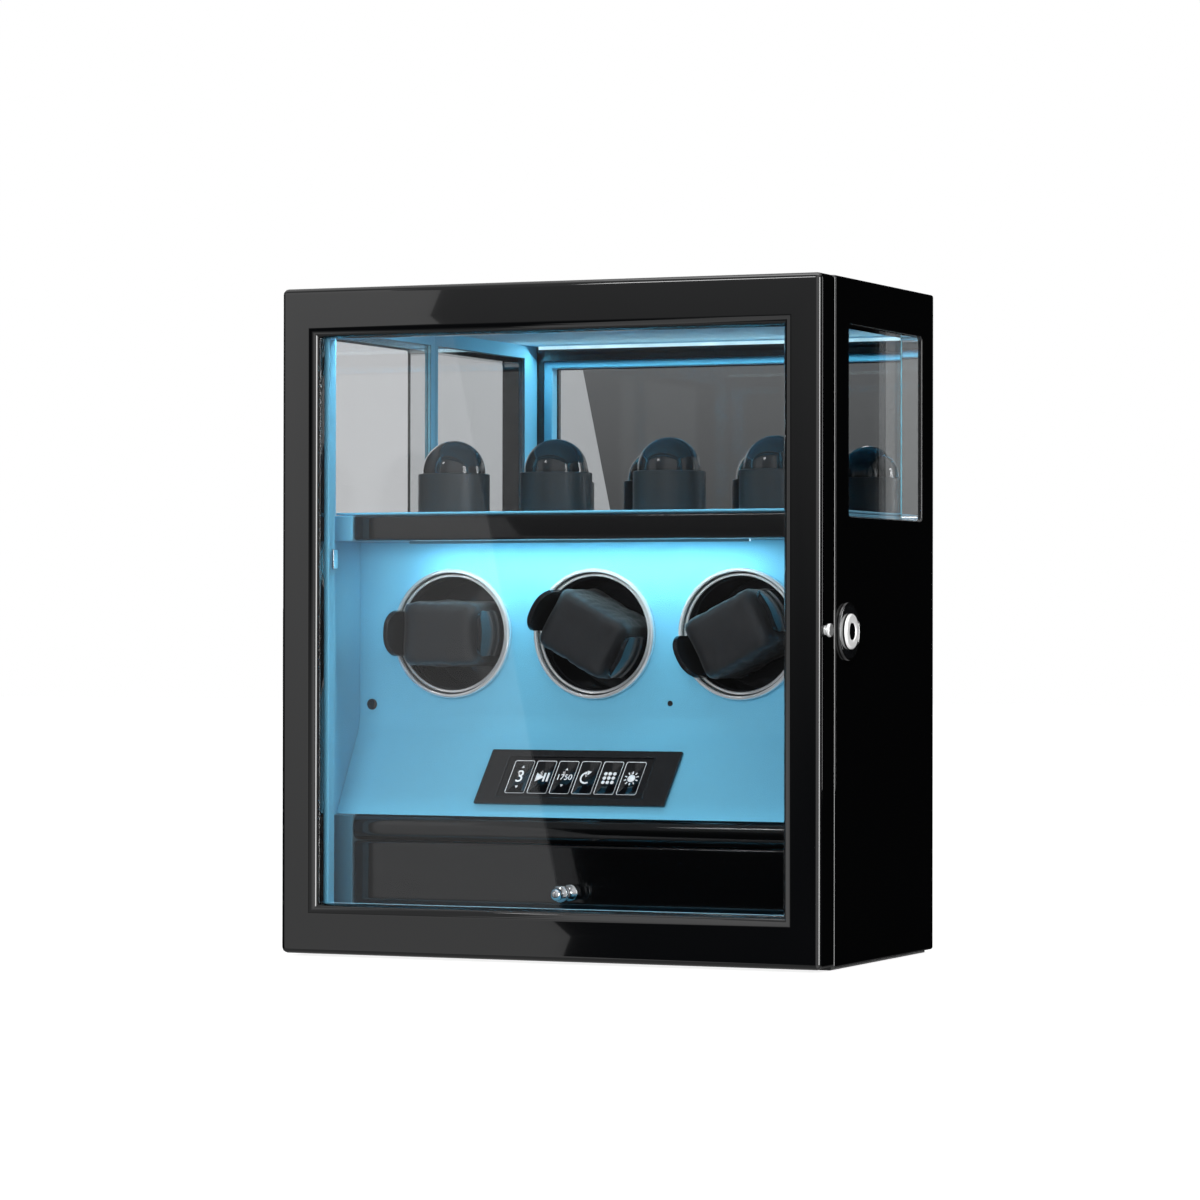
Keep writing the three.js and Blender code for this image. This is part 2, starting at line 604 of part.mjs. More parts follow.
// ---- lock ------------------------------------------------------------------------------------------
function buildLock() {
  const at = [0, behind(LOCK.depth), LOCK.height];
  const x = HALF + GAP;
  const flange = [
    [0, INNER + GAP],
    [LOCK.barrel, INNER + GAP],
    [LOCK.barrel, x],
    [LOCK.flange, x],
    [LOCK.flange, x + LOCK.flangeThick - LOCK.flangeEdge],
    [LOCK.flange - LOCK.flangeEdge, x + LOCK.flangeThick],
    [0, x + LOCK.flangeThick],
  ];
  add("lock_body", turned(flange, 32, "x", at), GLOSS_BLACK);
  const face = x + LOCK.flangeThick + GAP;
  const ring = [
    [0, face],
    [LOCK.ring, face],
    [LOCK.ring, face + LOCK.ringProud - LOCK.ringEdge],
    [LOCK.ring - LOCK.ringEdge, face + LOCK.ringProud],
    [LOCK.dish, face + LOCK.ringProud],
    [LOCK.dish - LOCK.dishFall, face + LOCK.ringProud - LOCK.dishFall],
    [0, face + LOCK.ringProud - LOCK.dishFall],
  ];
  add("lock_sensor_ring", turned(ring, 32, "x", at), CHROME);
  const bolt = box(
    BOLT.x - BOLT.width / 2, BOLT.x + BOLT.width / 2,
    CASE_FRONT + GAP, CASE_FRONT + GAP + BOLT.length,
    LOCK.height - BOLT.height / 2, LOCK.height + BOLT.height / 2,
  );
  add("latch_bolt", bolt, CHROME);
}

// ---- hinges ----------------------------------------------------------------------------------------
const HINGE_X = -HALF - HINGE.knuckle - HINGE.standOff;
const HINGE_Y = DOOR_BACK + DOOR.gap / 2;

// Pockets for the leaves on the left side, `face` being the front of the pocket.
function hingeSeats(side, face) {
  if (side > 0) return [];
  return HINGE.heights.map((height) => {
    const half = HINGE.length / 2 + GAP;
    const deep = HINGE.leaf + GAP;
    return box(-HALF - OVER, -HALF + HINGE.width, face - HAIR, face + deep, height - half, height + half);
  });
}

// The case leaf holds the pin and the two end knuckles; the door leaf turns on the middle of the pin.
function buildHinges() {
  HINGE.heights.forEach((height, index) => {
    const name = index ? "upper_hinge" : "lower_hinge";
    const half = HINGE.length / 2;
    const third = HINGE.length / 6;
    const inner = -HALF + HINGE.width - GAP;
    const at = [HINGE_X, HINGE_Y, height];
    const clear = (from, to) => {
      const reach = HINGE.knuckle + GAP;
      return box(
        HINGE_X - reach, HINGE_X + reach, HINGE_Y - reach, HINGE_Y + reach, height + from, height + to,
      );
    };
    const span = [height - half, height + half];
    const caseLeaf = box(HINGE_X, inner, CASE_FRONT + GAP / 2, CASE_FRONT + HINGE.leaf, ...span);
    const fixed = join(
      cut(caseLeaf, clear(-third, third)),
      rod(HINGE.knuckle, -half, -third, 20, "z", at),
      rod(HINGE.knuckle, third, half, 20, "z", at),
      rod(HINGE.pin, -half, half, 24, "z", at),
    );
    add(name + "_case_leaf", fixed, STEEL);
    const doorLeaf = box(HINGE_X, inner, DOOR_BACK - HINGE.leaf, DOOR_BACK - GAP / 2, ...span);
    const middle = third - GAP;
    const turning = join(
      cut(doorLeaf, clear(-half - OVER, -middle), clear(middle, half + OVER)),
      rod(HINGE.knuckle, -middle, middle, 20, "z", at),
    );
    const bore = rod(HINGE.pin + RUN, -half - OVER, half + OVER, 24, "z", at);
    add(name + "_door_leaf", cut(turning, bore), STEEL);
  });
}

buildCase();
buildDisplay();
buildWinderPanel();
[0, 1, 2].forEach(buildRotor);
buildDrivePlate();
buildLower();
buildDoor();
buildLock();
buildHinges();

export default object;
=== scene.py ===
import math

import bmesh
import bpy
from bpy.props import FloatProperty, FloatVectorProperty, IntProperty, PointerProperty
from mathutils import Matrix, Vector, noise


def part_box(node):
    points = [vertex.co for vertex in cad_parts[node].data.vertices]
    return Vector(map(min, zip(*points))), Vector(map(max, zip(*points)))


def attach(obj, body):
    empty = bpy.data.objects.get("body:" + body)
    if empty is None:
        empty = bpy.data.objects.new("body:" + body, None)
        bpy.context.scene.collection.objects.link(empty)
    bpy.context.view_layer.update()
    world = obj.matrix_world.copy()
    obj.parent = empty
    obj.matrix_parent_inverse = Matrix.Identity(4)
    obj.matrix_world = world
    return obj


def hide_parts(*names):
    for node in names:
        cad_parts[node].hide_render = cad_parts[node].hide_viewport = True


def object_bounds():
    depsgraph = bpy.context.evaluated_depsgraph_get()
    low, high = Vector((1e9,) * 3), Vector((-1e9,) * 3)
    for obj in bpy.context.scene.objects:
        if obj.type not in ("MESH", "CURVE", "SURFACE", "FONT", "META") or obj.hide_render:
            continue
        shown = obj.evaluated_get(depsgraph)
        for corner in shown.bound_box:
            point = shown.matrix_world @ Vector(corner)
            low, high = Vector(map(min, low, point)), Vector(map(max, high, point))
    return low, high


bl_info = {
    "name": "Watch winder cabinet",
    "version": (1, 0, 0),
    "blender": (4, 5, 0),
    "location": "View3D > Sidebar > Cabinet",
    "description": "Builds the visible pieces of a lacquered watch winder cabinet round its frame",
    "category": "Add Mesh",
}

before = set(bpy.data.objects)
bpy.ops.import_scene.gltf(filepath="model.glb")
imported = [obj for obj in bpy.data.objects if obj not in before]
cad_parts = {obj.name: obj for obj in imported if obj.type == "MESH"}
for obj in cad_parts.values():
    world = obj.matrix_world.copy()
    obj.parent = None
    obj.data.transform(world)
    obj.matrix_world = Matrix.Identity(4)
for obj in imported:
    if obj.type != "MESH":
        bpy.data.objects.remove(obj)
CAD_BOX = [list(corner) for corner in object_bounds()]

MM = 0.001
ROTORS = (1, 2, 3)
AXES = {"x": Vector((1, 0, 0)), "y": Vector((0, 1, 0)), "z": Vector((0, 0, 1))}
SHARP = math.radians(28)
FINISHES = {}
FIT = 0.3 * MM  # gap round a piece that is let into another
WINDOW_REBATE = 4 * MM  # how far a side pane reaches past its opening
DOOR_REBATE = 5.5 * MM  # how far the door's pane reaches past its opening
INLET_BARREL, INLET_FLANGE = 5 * MM, 8 * MM  # radii
LOCK_BARREL = 10 * MM  # radius
LEAF_THICK = 1.3 * MM
SEAT_OVERRUN = 15.6 * MM  # how far the seats of the door's hinge leaves run past the leaves
EAR_THICK = 3 * MM
GEAR_TEETH, GEAR_MODULE, GEAR_WIDTH = 30, 1.6 * MM, 5 * MM
CONSOLE_LEAN = 4.6 / 37.7  # sideways run of the console's ends over their height
MARK_THICK = 0.24 * MM
REST_ANGLES = {1: 0.0, 2: 28.5, 3: -27.5}  # of the rotors, in degrees
DOOR_FACE = CAD_BOX[0][1]


# ---- settings --------------------------------------------------------------------------------------
class CabinetSizes(bpy.types.PropertyGroup):
    """Sizes that change how the pieces are finished."""

    case_edge: FloatProperty(
        name="Case edge", description="Rounding of the case's outer edges",
        default=0.0016, min=0.0005, max=0.004, unit="LENGTH",
    )
    door_edge: FloatProperty(
        name="Door edge", description="Rounding of the door frame's edges",
        default=0.0036, min=0.001, max=0.006, unit="LENGTH",
    )
    pane_edge: FloatProperty(
        name="Pane edge", description="Arris on the edges of the glass",
        default=0.0005, min=0.0002, max=0.001, unit="LENGTH",
    )
    opening_round: FloatProperty(
        name="Opening round", description="Rounding of the door frame's inner edge",
        default=0.0065, min=0.001, max=0.008, unit="LENGTH",
    )
    console_slope: FloatProperty(
        name="Console slope", description="Lean of the touch console from upright",
        default=math.radians(30.5), min=0.0, max=math.radians(60), subtype="ANGLE",
    )
    cushion_pressure: FloatProperty(
        name="Cushion pressure", description="How firmly the watch cushions are stuffed",
        default=3.0, min=0.5, max=8.0,
    )
    wrinkle_depth: FloatProperty(
        name="Wrinkle depth", description="Depth of the puckers along the cushions' edges",
        default=0.0014, min=0.0, max=0.003, unit="LENGTH",
    )
    round_steps: IntProperty(
        name="Round steps", description="Facets round a full turn of the round pieces",
        default=96, min=32, max=192,
    )


class CabinetColours(bpy.types.PropertyGroup):
    """Colours of the finishes."""

    lacquer: FloatVectorProperty(
        name="Lacquer", description="Body colour of the black lacquer",
        default=(0.0012, 0.0013, 0.0015), subtype="COLOR", min=0, max=1,
    )
    lining: FloatVectorProperty(
        name="Lining", description="Colour of the leatherette lining",
        default=(0.135, 0.43, 0.61), subtype="COLOR", min=0, max=1,
    )
    cushion: FloatVectorProperty(
        name="Cushion", description="Colour of the watch cushions",
        default=(0.012, 0.0125, 0.014), subtype="COLOR", min=0, max=1,
    )
    light: FloatVectorProperty(
        name="Light", description="Colour of the light bars",
        default=(0.62, 0.93, 1.0), subtype="COLOR", min=0, max=1,
    )


# ---- finishes --------------------------------------------------------------------------------------
class Wire:
    """A socket in a finish's node tree; arithmetic on it adds Math nodes."""

    def __init__(self, finish, socket):
        self.finish = finish
        self.socket = socket

    def _math(self, operation, first, second):
        return self.finish.node("ShaderNodeMath", {"operation": operation}, {0: first, 1: second})

    def __add__(self, other):
        return self._math("ADD", self, other)

    __radd__ = __add__

    def __rsub__(self, other):
        return self._math("SUBTRACT", other, self)

    def __mul__(self, other):
        return self._math("MULTIPLY", self, other)

    __rmul__ = __mul__

    def __pow__(self, other):
        return self._math("POWER", self, other)


class Finish:
    """A node tree being built: a material's, or the world's."""

    def __init__(self, owner):
        owner.use_nodes = True
        self.owner = owner
        self.tree = owner.node_tree
        self.tree.nodes.clear()

    def feed(self, node, name, value):
        socket = node.inputs[name]
        if isinstance(value, Wire):
            self.tree.links.new(value.socket, socket)
        elif hasattr(socket.default_value, "__len__") and len(socket.default_value) == 4:
            socket.default_value = (*value[:3], 1.0)
        else:
            socket.default_value = value

    def node(self, kind, settings=None, inputs=None, output=0):
        made = self.tree.nodes.new(kind)
        for name, value in (settings or {}).items():
            setattr(made, name, value)
        for name, value in (inputs or {}).items():
            self.feed(made, name, value)
        return Wire(self, made.outputs[output])

    def place(self, stretch=(1, 1, 1)):
        """Object coordinates, stretched."""
        where = self.node("ShaderNodeTexCoord", output="Object")
        return self.node("ShaderNodeMapping", {"vector_type": "POINT"}, {"Vector": where, "Scale": stretch})

    def cloud(self, scale, detail=3.0, rough=0.5, where=None):
        return self.node(
            "ShaderNodeTexNoise", {},
            {"Vector": where or self.place(), "Scale": scale, "Detail": detail, "Roughness": rough})

    def cells(self, scale, where=None):
        return self.node("ShaderNodeTexVoronoi", {}, {"Vector": where or self.place(), "Scale": scale})

    def blend(self, factor, first, second):
        made = self.tree.nodes.new("ShaderNodeMix")
        made.data_type = "RGBA"
        for index, value in ((0, factor), (6, first), (7, second)):
            self.feed(made, index, value)
        return Wire(self, made.outputs[2])

    def bump(self, height, distance, strength=1.0):
        return self.node(
            "ShaderNodeBump", {}, {"Height": height, "Distance": distance, "Strength": strength})

    def surface(self, **sockets):
        """The Principled shader; an underscore in a name stands for a space."""
        inputs = {name.replace("_", " "): value for name, value in sockets.items()}
        return self.node("ShaderNodeBsdfPrincipled", {}, inputs)

    def finish(self, shader, output="ShaderNodeOutputMaterial"):
        end = self.tree.nodes.new(output)
        self.tree.links.new(shader.socket, end.inputs["Surface"])
        return self.owner


def new_finish(name):
    return Finish(bpy.data.materials.new(name))


def scaled(colour, factor):
    return tuple(min(1.0, channel * factor) for channel in colour)


def piano_lacquer(colour):
    look = new_finish("piano_lacquer")
    haze = look.cloud(7.0, 4.0)
    specks = look.cells(210.0)
    return look.finish(look.surface(
        Base_Color=look.blend(haze, colour, scaled(colour, 1.8)),
        Roughness=0.03 + haze * 0.035,
        Specular_IOR_Level=0.2,
        Coat_Weight=1.0,
        Coat_Roughness=0.015,
        Normal=look.bump(look.cloud(34.0, 2.0) + specks * 0.015, 0.00004, 0.35),
    ))


def leatherette(name, colour, grain=1500.0, depth=0.00012, sheen=0.25):
    look = new_finish(name)
    pebbles = look.cells(grain)
    wear = look.cloud(11.0, 4.0)
    shade = look.blend(wear, scaled(colour, 0.93), scaled(colour, 1.06))
    creases = look.cloud(grain * 0.4, 5.0, 0.6)
    return look.finish(look.surface(
        Base_Color=look.blend(pebbles * 0.22, shade, scaled(colour, 0.82)),
        Roughness=0.5 + pebbles * 0.18 + wear * 0.08,
        Sheen_Weight=sheen,
        Sheen_Roughness=0.4,
        Normal=look.bump(1 - pebbles * 0.8 + creases * 0.25, depth),
    ))


def satin_leather(name, colour):
    """Supple satin leather, as on the watch cushions."""
    look = new_finish(name)
    pebbles = look.cells(900.0)
    creases = look.cloud(260.0, 5.0, 0.6, look.place(stretch=(1, 1, 0.5)))
    return look.finish(look.surface(
        Base_Color=look.blend(creases, scaled(colour, 0.6), scaled(colour, 1.5)),
        Roughness=0.36 + creases * 0.12 + pebbles * 0.1,
        Sheen_Weight=0.06,
        Normal=look.bump(creases + pebbles * 0.2, 0.00012),
    ))


def velvet(name, colour):
    look = new_finish(name)
    pile = look.cloud(2600.0, 3.0, 0.6)
    brushed = look.cloud(46.0, 4.0, 0.55, look.place(stretch=(1, 1, 2.2)))
    return look.finish(look.surface(
        Base_Color=look.blend(brushed, scaled(colour, 0.7), scaled(colour, 1.7)),
        Roughness=0.62 + pile * 0.2,
        Sheen_Weight=0.35,
        Sheen_Roughness=0.35,
        Normal=look.bump(pile + brushed * 0.6, 0.00025),
    ))


def gloss_plastic(name, colour, rough=0.09, coat=0.4, level=0.5):
    look = new_finish(name)
    flow = look.cloud(60.0, 3.0)
    scuffs = look.cloud(700.0, 2.0, 0.6, look.place(stretch=(1, 0.2, 0.2)))
    return look.finish(look.surface(
        Base_Color=look.blend(flow, colour, scaled(colour, 1.5)),
        Roughness=rough + flow * 0.05 + scuffs * 0.04,
        Specular_IOR_Level=level,
        Coat_Weight=coat,
        Coat_Roughness=0.06,
        Normal=look.bump(flow, 0.00006, 0.4),
    ))


def satin_wrap(name, colour):
    """Fine-grained satin wrap, as on the collars of the watch stands."""
    look = new_finish(name)
    grain = look.cloud(1900.0, 3.0, 0.6, look.place(stretch=(1, 1, 0.35)))
    return look.finish(look.surface(
        Base_Color=look.blend(grain, colour, scaled(colour, 1.5)),
        Roughness=0.34 + grain * 0.12,
        Normal=look.bump(grain, 0.00005),
    ))


def chrome(name="polished_chrome", tint=(0.78, 0.79, 0.80), rough=0.04, metal=1.0):
    look = new_finish(name)
    haze = look.cloud(180.0, 4.0)
    hairlines = look.cloud(2400.0, 2.0, 0.5, look.place(stretch=(0.2, 1, 1)))
    return look.finish(look.surface(
        Base_Color=look.blend(haze, tint, scaled(tint, 0.9)),
        Metallic=metal,
        Roughness=rough + haze * 0.05 + hairlines * 0.03,
        Normal=look.bump(hairlines, 0.00001, 0.5),
    ))


def brushed_steel():
    look = new_finish("brushed_steel")
    lines = look.cloud(900.0, 3.0, 0.6, look.place(stretch=(1, 1, 0.04)))
    return look.finish(look.surface(
        Base_Color=look.blend(lines, (0.42, 0.43, 0.45), (0.62, 0.63, 0.64)),
        Metallic=1.0,
        Roughness=0.28 + lines * 0.2,
        Normal=look.bump(lines, 0.00003),
    ))


def moulded_plastic(name, colour):
    look = new_finish(name)
    texture = look.cloud(1200.0, 3.0)
    return look.finish(look.surface(
        Base_Color=look.blend(texture, colour, scaled(colour, 1.2)),
        Roughness=0.42 + texture * 0.15,
        Normal=look.bump(texture, 0.00005),
    ))


def felt():
    look = new_finish("black_felt")
    fibres = look.cloud(1400.0, 6.0, 0.75)
    return look.finish(look.surface(
        Base_Color=look.blend(fibres, (0.006, 0.006, 0.007), (0.03, 0.03, 0.032)),
        Roughness=0.95,
        Sheen_Weight=0.4,
        Normal=look.bump(fibres, 0.0005),
    ))


def silvering():
    look = new_finish("silvered_mirror")
    haze = look.cloud(16.0, 3.0)
    return look.finish(look.surface(
        Base_Color=look.blend(haze, (0.84, 0.86, 0.86), (0.80, 0.82, 0.83)),
        Metallic=1.0,
        Roughness=0.0 + haze * 0.004,
    ))


def clear_pane(name, through):
    """Smoked glass: what passes through keeps its path, and the surface reflects by its angle."""
    look = new_finish(name)
    smear = look.cloud(5.0, 4.0)
    passing = look.node("ShaderNodeBsdfTransparent", {}, {"Color": through})
    gloss = look.node("ShaderNodeBsdfGlossy", {}, {"Color": (1, 1, 1), "Roughness": 0.0})
    facing = look.node("ShaderNodeLayerWeight", {}, {"Blend": 0.5}, output="Facing")
    grazing = facing ** 5 * 0.48 + 0.021 + smear * 0.003
    mixed = look.node("ShaderNodeMixShader", {}, {0: grazing, 1: passing, 2: gloss})
    return look.finish(mixed)


def painted_glow_glass_edge():
    look = new_finish("painted_glow_glass_edge")
    glow = look.cloud(120.0, 2.0)
    # painted glow: the pane's edges are coloured light blue to stand for the light that the glass edge catches
    return look.finish(look.surface(
        Base_Color=look.blend(glow, (0.10, 0.33, 0.42), (0.22, 0.52, 0.62)),
        Roughness=0.12,
        Coat_Weight=1.0,
    ))


def lit_diffuser(colour, strength):
    look = new_finish("lit_diffuser")
    spots = look.cells(60.0, where=look.place(stretch=(1, 0.001, 0.001)))
    return look.finish(look.surface(
        Base_Color=(0.8, 0.9, 0.95),
        Roughness=0.5,
        Emission_Color=look.blend(spots, (0.75, 0.97, 1.0), scaled(colour, 0.6)),
        Emission_Strength=strength,
    ))


def lit_mark():
    look = new_finish("lit_mark")
    soft = look.cloud(300.0, 2.0)
    return look.finish(look.surface(
        Base_Color=(0.6, 0.62, 0.64),
        Roughness=0.5,
        Emission_Color=look.blend(soft, (0.80, 0.84, 0.88), (0.62, 0.66, 0.70)),
        Emission_Strength=0.55,
    ))


def make_finishes(colours):
    lacquer = tuple(colours.lacquer)
    lining = tuple(colours.lining)
    black = (0.006, 0.0065, 0.0075)
    FINISHES.update({
        "lacquer": piano_lacquer(lacquer),
        "lining": leatherette("blue_leatherette", lining),
        "drawer_lining": velvet("blue_velvet", scaled(lining, 0.7)),
        # painted shade: the lining darkened to a third, put where shade falls: the cheeks beside the drawer and
        # the hidden light bar's channel
        "shaded_lining": leatherette("painted_shade_leatherette", scaled(lining, 0.3)),
        "cushion": satin_leather("cushion_leather", tuple(colours.cushion)),
        "gloss_black": gloss_plastic("gloss_black_plastic", black, 0.05),
        "holder": gloss_plastic("holder_plastic", black, 0.08, 0.0, 0.22),
        "screen": gloss_plastic("touch_glass", (0.002, 0.0022, 0.003), 0.03),
        "collar": satin_wrap("collar_wrap", (0.010, 0.011, 0.012)),
        "chrome": chrome(),
        "rim": chrome("polished_rim", (0.93, 0.935, 0.94), 0.10, 0.72),
        # painted reflection: the sensor ring is near-white and mostly diffuse, so it looks white by its colour
        # where chrome would show the white studio reflected
        "bright_ring": chrome("bright_ring", (0.96, 0.96, 0.96), 0.28, 0.2),
        "steel": brushed_steel(),
        "nylon": moulded_plastic("white_nylon", (0.62, 0.62, 0.58)),
        "board": moulded_plastic("painted_board", (0.012, 0.012, 0.013)),
        "felt": felt(),
        "mirror": silvering(),
        "glass": clear_pane("door_pane", (0.84, 0.845, 0.85)),
        "side_glass": clear_pane("window_pane", (0.86, 0.865, 0.87)),
        "painted_glow_glass_edge": painted_glow_glass_edge(),
        "light_bar": lit_diffuser(tuple(colours.light), 1.6),
        "mark": lit_mark(),
    })


# ---- mesh helpers ----------------------------------------------------------------------------------
def slab_mesh(low, high):
    low, high = Vector(low), Vector(high)
    bm = bmesh.new()
    size = Matrix.Diagonal((*(high - low), 1.0))
    bmesh.ops.create_cube(bm, size=1.0, matrix=Matrix.Translation((low + high) / 2) @ size)
    return bm


def soften(bm, width, segments=3, edges=None):
    """Rounds the given edges, or every sharp one."""
    if edges is None:
        edges = [e for e in bm.edges if len(e.link_faces) == 2 and e.calc_face_angle() > SHARP]
    bmesh.ops.bevel(
        bm, geom=edges, offset=width, offset_type="OFFSET", segments=segments, profile=0.5,
        affect="EDGES", material=-1, clamp_overlap=True,
    )
    return bm


def slab(low, high, edge, segments=3):
    return soften(slab_mesh(low, high), edge, segments)


def turned(profile, axis, centre, steps):
    """Spins [radius, along] points about an axis; along counts from the frame's origin."""
    along = AXES[axis]
    out = AXES["z"] if axis == "y" else AXES["y"]
    centre = Vector(centre)
    centre -= along * centre.dot(along)
    bm = bmesh.new()
    points = [bm.verts.new(centre + out * radius + along * place) for radius, place in profile]
    edges = [bm.edges.new(pair) for pair in zip(points, points[1:])]
    bmesh.ops.spin(
        bm, geom=points + edges, cent=centre, axis=along, dvec=(0, 0, 0), angle=math.tau,
        steps=steps, use_merge=True, use_normal_flip=False, use_duplicate=False,
    )
    bmesh.ops.remove_doubles(bm, verts=bm.verts, dist=1e-6)
    bmesh.ops.dissolve_degenerate(bm, dist=1e-6, edges=bm.edges)
    bmesh.ops.recalc_face_normals(bm, faces=bm.faces)
    return bm


def section(points, start, way=1):
    """A profile for turned, from [radius, along] in millimetres; along counts from start."""
    return [(radius * MM, start + way * along * MM) for radius, along in points]


def arc(centre, radius, start, end, steps):
    """Points of a round in a turned profile; angles in degrees."""
    angles = [math.radians(start + (end - start) * step / steps) for step in range(steps + 1)]
    return [(centre[0] + radius * math.cos(a), centre[1] + radius * math.sin(a)) for a in angles]


def from_axis(face, centre, axis):
    """How far a face's middle lies from an axis through a point."""
    away = face.calc_center_median() - Vector(centre)
    return (away - AXES[axis] * away.dot(AXES[axis])).length


def extruded(face, bm, offset):
    """Draws a flat face out into a solid."""
    made = bmesh.ops.extrude_face_region(bm, geom=[face])["geom"]
    bmesh.ops.translate(bm, verts=[v for v in made if isinstance(v, bmesh.types.BMVert)], vec=offset)
    bmesh.ops.recalc_face_normals(bm, faces=bm.faces)
    return bm


def joined(*parts):
    """One bmesh from several."""
    whole = bmesh.new()
    for part in parts:
        mesh = bpy.data.meshes.new("part")
        part.to_mesh(mesh)
        part.free()
        whole.from_mesh(mesh)
        bpy.data.meshes.remove(mesh)
    return whole


def frame_ring(low, high, opening_low, opening_high, rebate=None):
    """A picture-frame ring with its opening along Y; rebate is (depth of its floor, corner, corner)."""
    bm = slab_mesh(low, high)
    front = min(bm.faces, key=lambda f: f.calc_center_median().y)
    back = max(bm.faces, key=lambda f: f.calc_center_median().y)
    back_low, back_high = (rebate[1], rebate[2]) if rebate else (opening_low, opening_high)
    for face, inner_low, inner_high in ((front, opening_low, opening_high), (back, back_low, back_high)):
        bmesh.ops.inset_region(bm, faces=[face], thickness=5 * MM, use_even_offset=True)
        centre = face.calc_center_median()
        for vert in face.verts:
            vert.co.x = inner_low[0] if vert.co.x < centre.x else inner_high[0]
            vert.co.z = inner_low[1] if vert.co.z < centre.z else inner_high[1]
    faces = [front, back]
    if rebate:
        faces = []
        for face in (front, back):
            made = bmesh.ops.extrude_discrete_faces(bm, faces=[face])["faces"][0]
            for vert in made.verts:
                vert.co.y = rebate[0]
            faces.append(made)
    loops = [edge for face in faces for edge in face.edges]
    bmesh.ops.delete(bm, geom=faces, context="FACES_ONLY")
    bmesh.ops.bridge_loops(bm, edges=loops)
    bmesh.ops.recalc_face_normals(bm, faces=bm.faces)
    return bm


def trimmed(bm, cutters):
    """Cuts closed meshes out of another with an exact boolean, and returns the result."""
    host = scratch_object("host", bm)
    for index, cutter in enumerate(cutters):
        tool = scratch_object("tool_%d" % index, cutter)
        step = host.modifiers.new("cut", "BOOLEAN")
        step.operation = "DIFFERENCE"
        step.solver = "EXACT"
        step.object = tool
    bpy.context.view_layer.update()
    graph = bpy.context.evaluated_depsgraph_get()
    mesh = bpy.data.meshes.new_from_object(host.evaluated_get(graph))
    result = bmesh.new()
    result.from_mesh(mesh)
    bpy.data.meshes.remove(mesh)
    for step in list(host.modifiers):
        bpy.data.objects.remove(step.object)
    bpy.data.objects.remove(host)
    return result


def scratch_object(name, bm):
    mesh = bpy.data.meshes.new(name)
    bm.to_mesh(mesh)
    bm.free()
    made = bpy.data.objects.new(name, mesh)
    bpy.context.scene.collection.objects.link(made)
    return made


def piece(name, bm, finishes, body, nodes=(), weighted=True, chooser=None):
    """Makes a finished piece that rides on a body and may stand for CAD nodes."""
    if isinstance(finishes, str):
        finishes = [finishes]
    if chooser:
        for face in bm.faces:
            face.material_index = chooser(face)
    made = scratch_object(name, bm)
    for finish in finishes:
        made.data.materials.append(FINISHES[finish])
    made.data.shade_smooth()
    if weighted:
        made.data.set_sharp_from_angle(angle=math.radians(50))
        made.modifiers.new("weighted", "WEIGHTED_NORMAL").keep_sharp = True
    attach(made, body)
    if nodes:
        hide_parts(*nodes)
    return made


def centre_of(node):
    low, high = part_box(node)
    return (low + high) / 2


def settings():
    return bpy.context.scene.cabinet_sizes


# ---- case ------------------------------------------------------------------------------------------
def window_cutters(side, outer):
    """Cuts for a side window: the opening, its outer lip and the seat of its pane."""
    way = 1 if side == "right" else -1
    low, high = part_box(side + "_window_glass")
    lip = WINDOW_REBATE - FIT
    lip_start = outer - way * 2.5 * MM
    reveal = (centre_of(side + "_window_glass").x, lip_start + way * 0.2 * MM, 0)
    rim = (lip_start, outer + way * 10 * MM, 0.4 * MM)
    cutters = []
    for start, end, grow in (reveal, rim):
        xs = sorted((start, end))
        cut = slab_mesh((xs[0], low.y + lip - grow, low.z + lip - grow),
                        (xs[1], high.y - lip + grow, high.z - lip + grow))
        corners = [e for e in cut.edges if abs(e.verts[0].co.x - e.verts[1].co.x) > MM]
        cutters.append(soften(cut, 3 * MM, 5, corners))
    gap = 0.1 * MM
    seat = (low.x - 20 * MM, high.x + gap) if way > 0 else (low.x - gap, high.x + 20 * MM)
    cutters.append(slab_mesh((seat[0], low.y - gap, low.z - gap), (seat[1], high.y + gap, high.z + gap)))
    return cutters


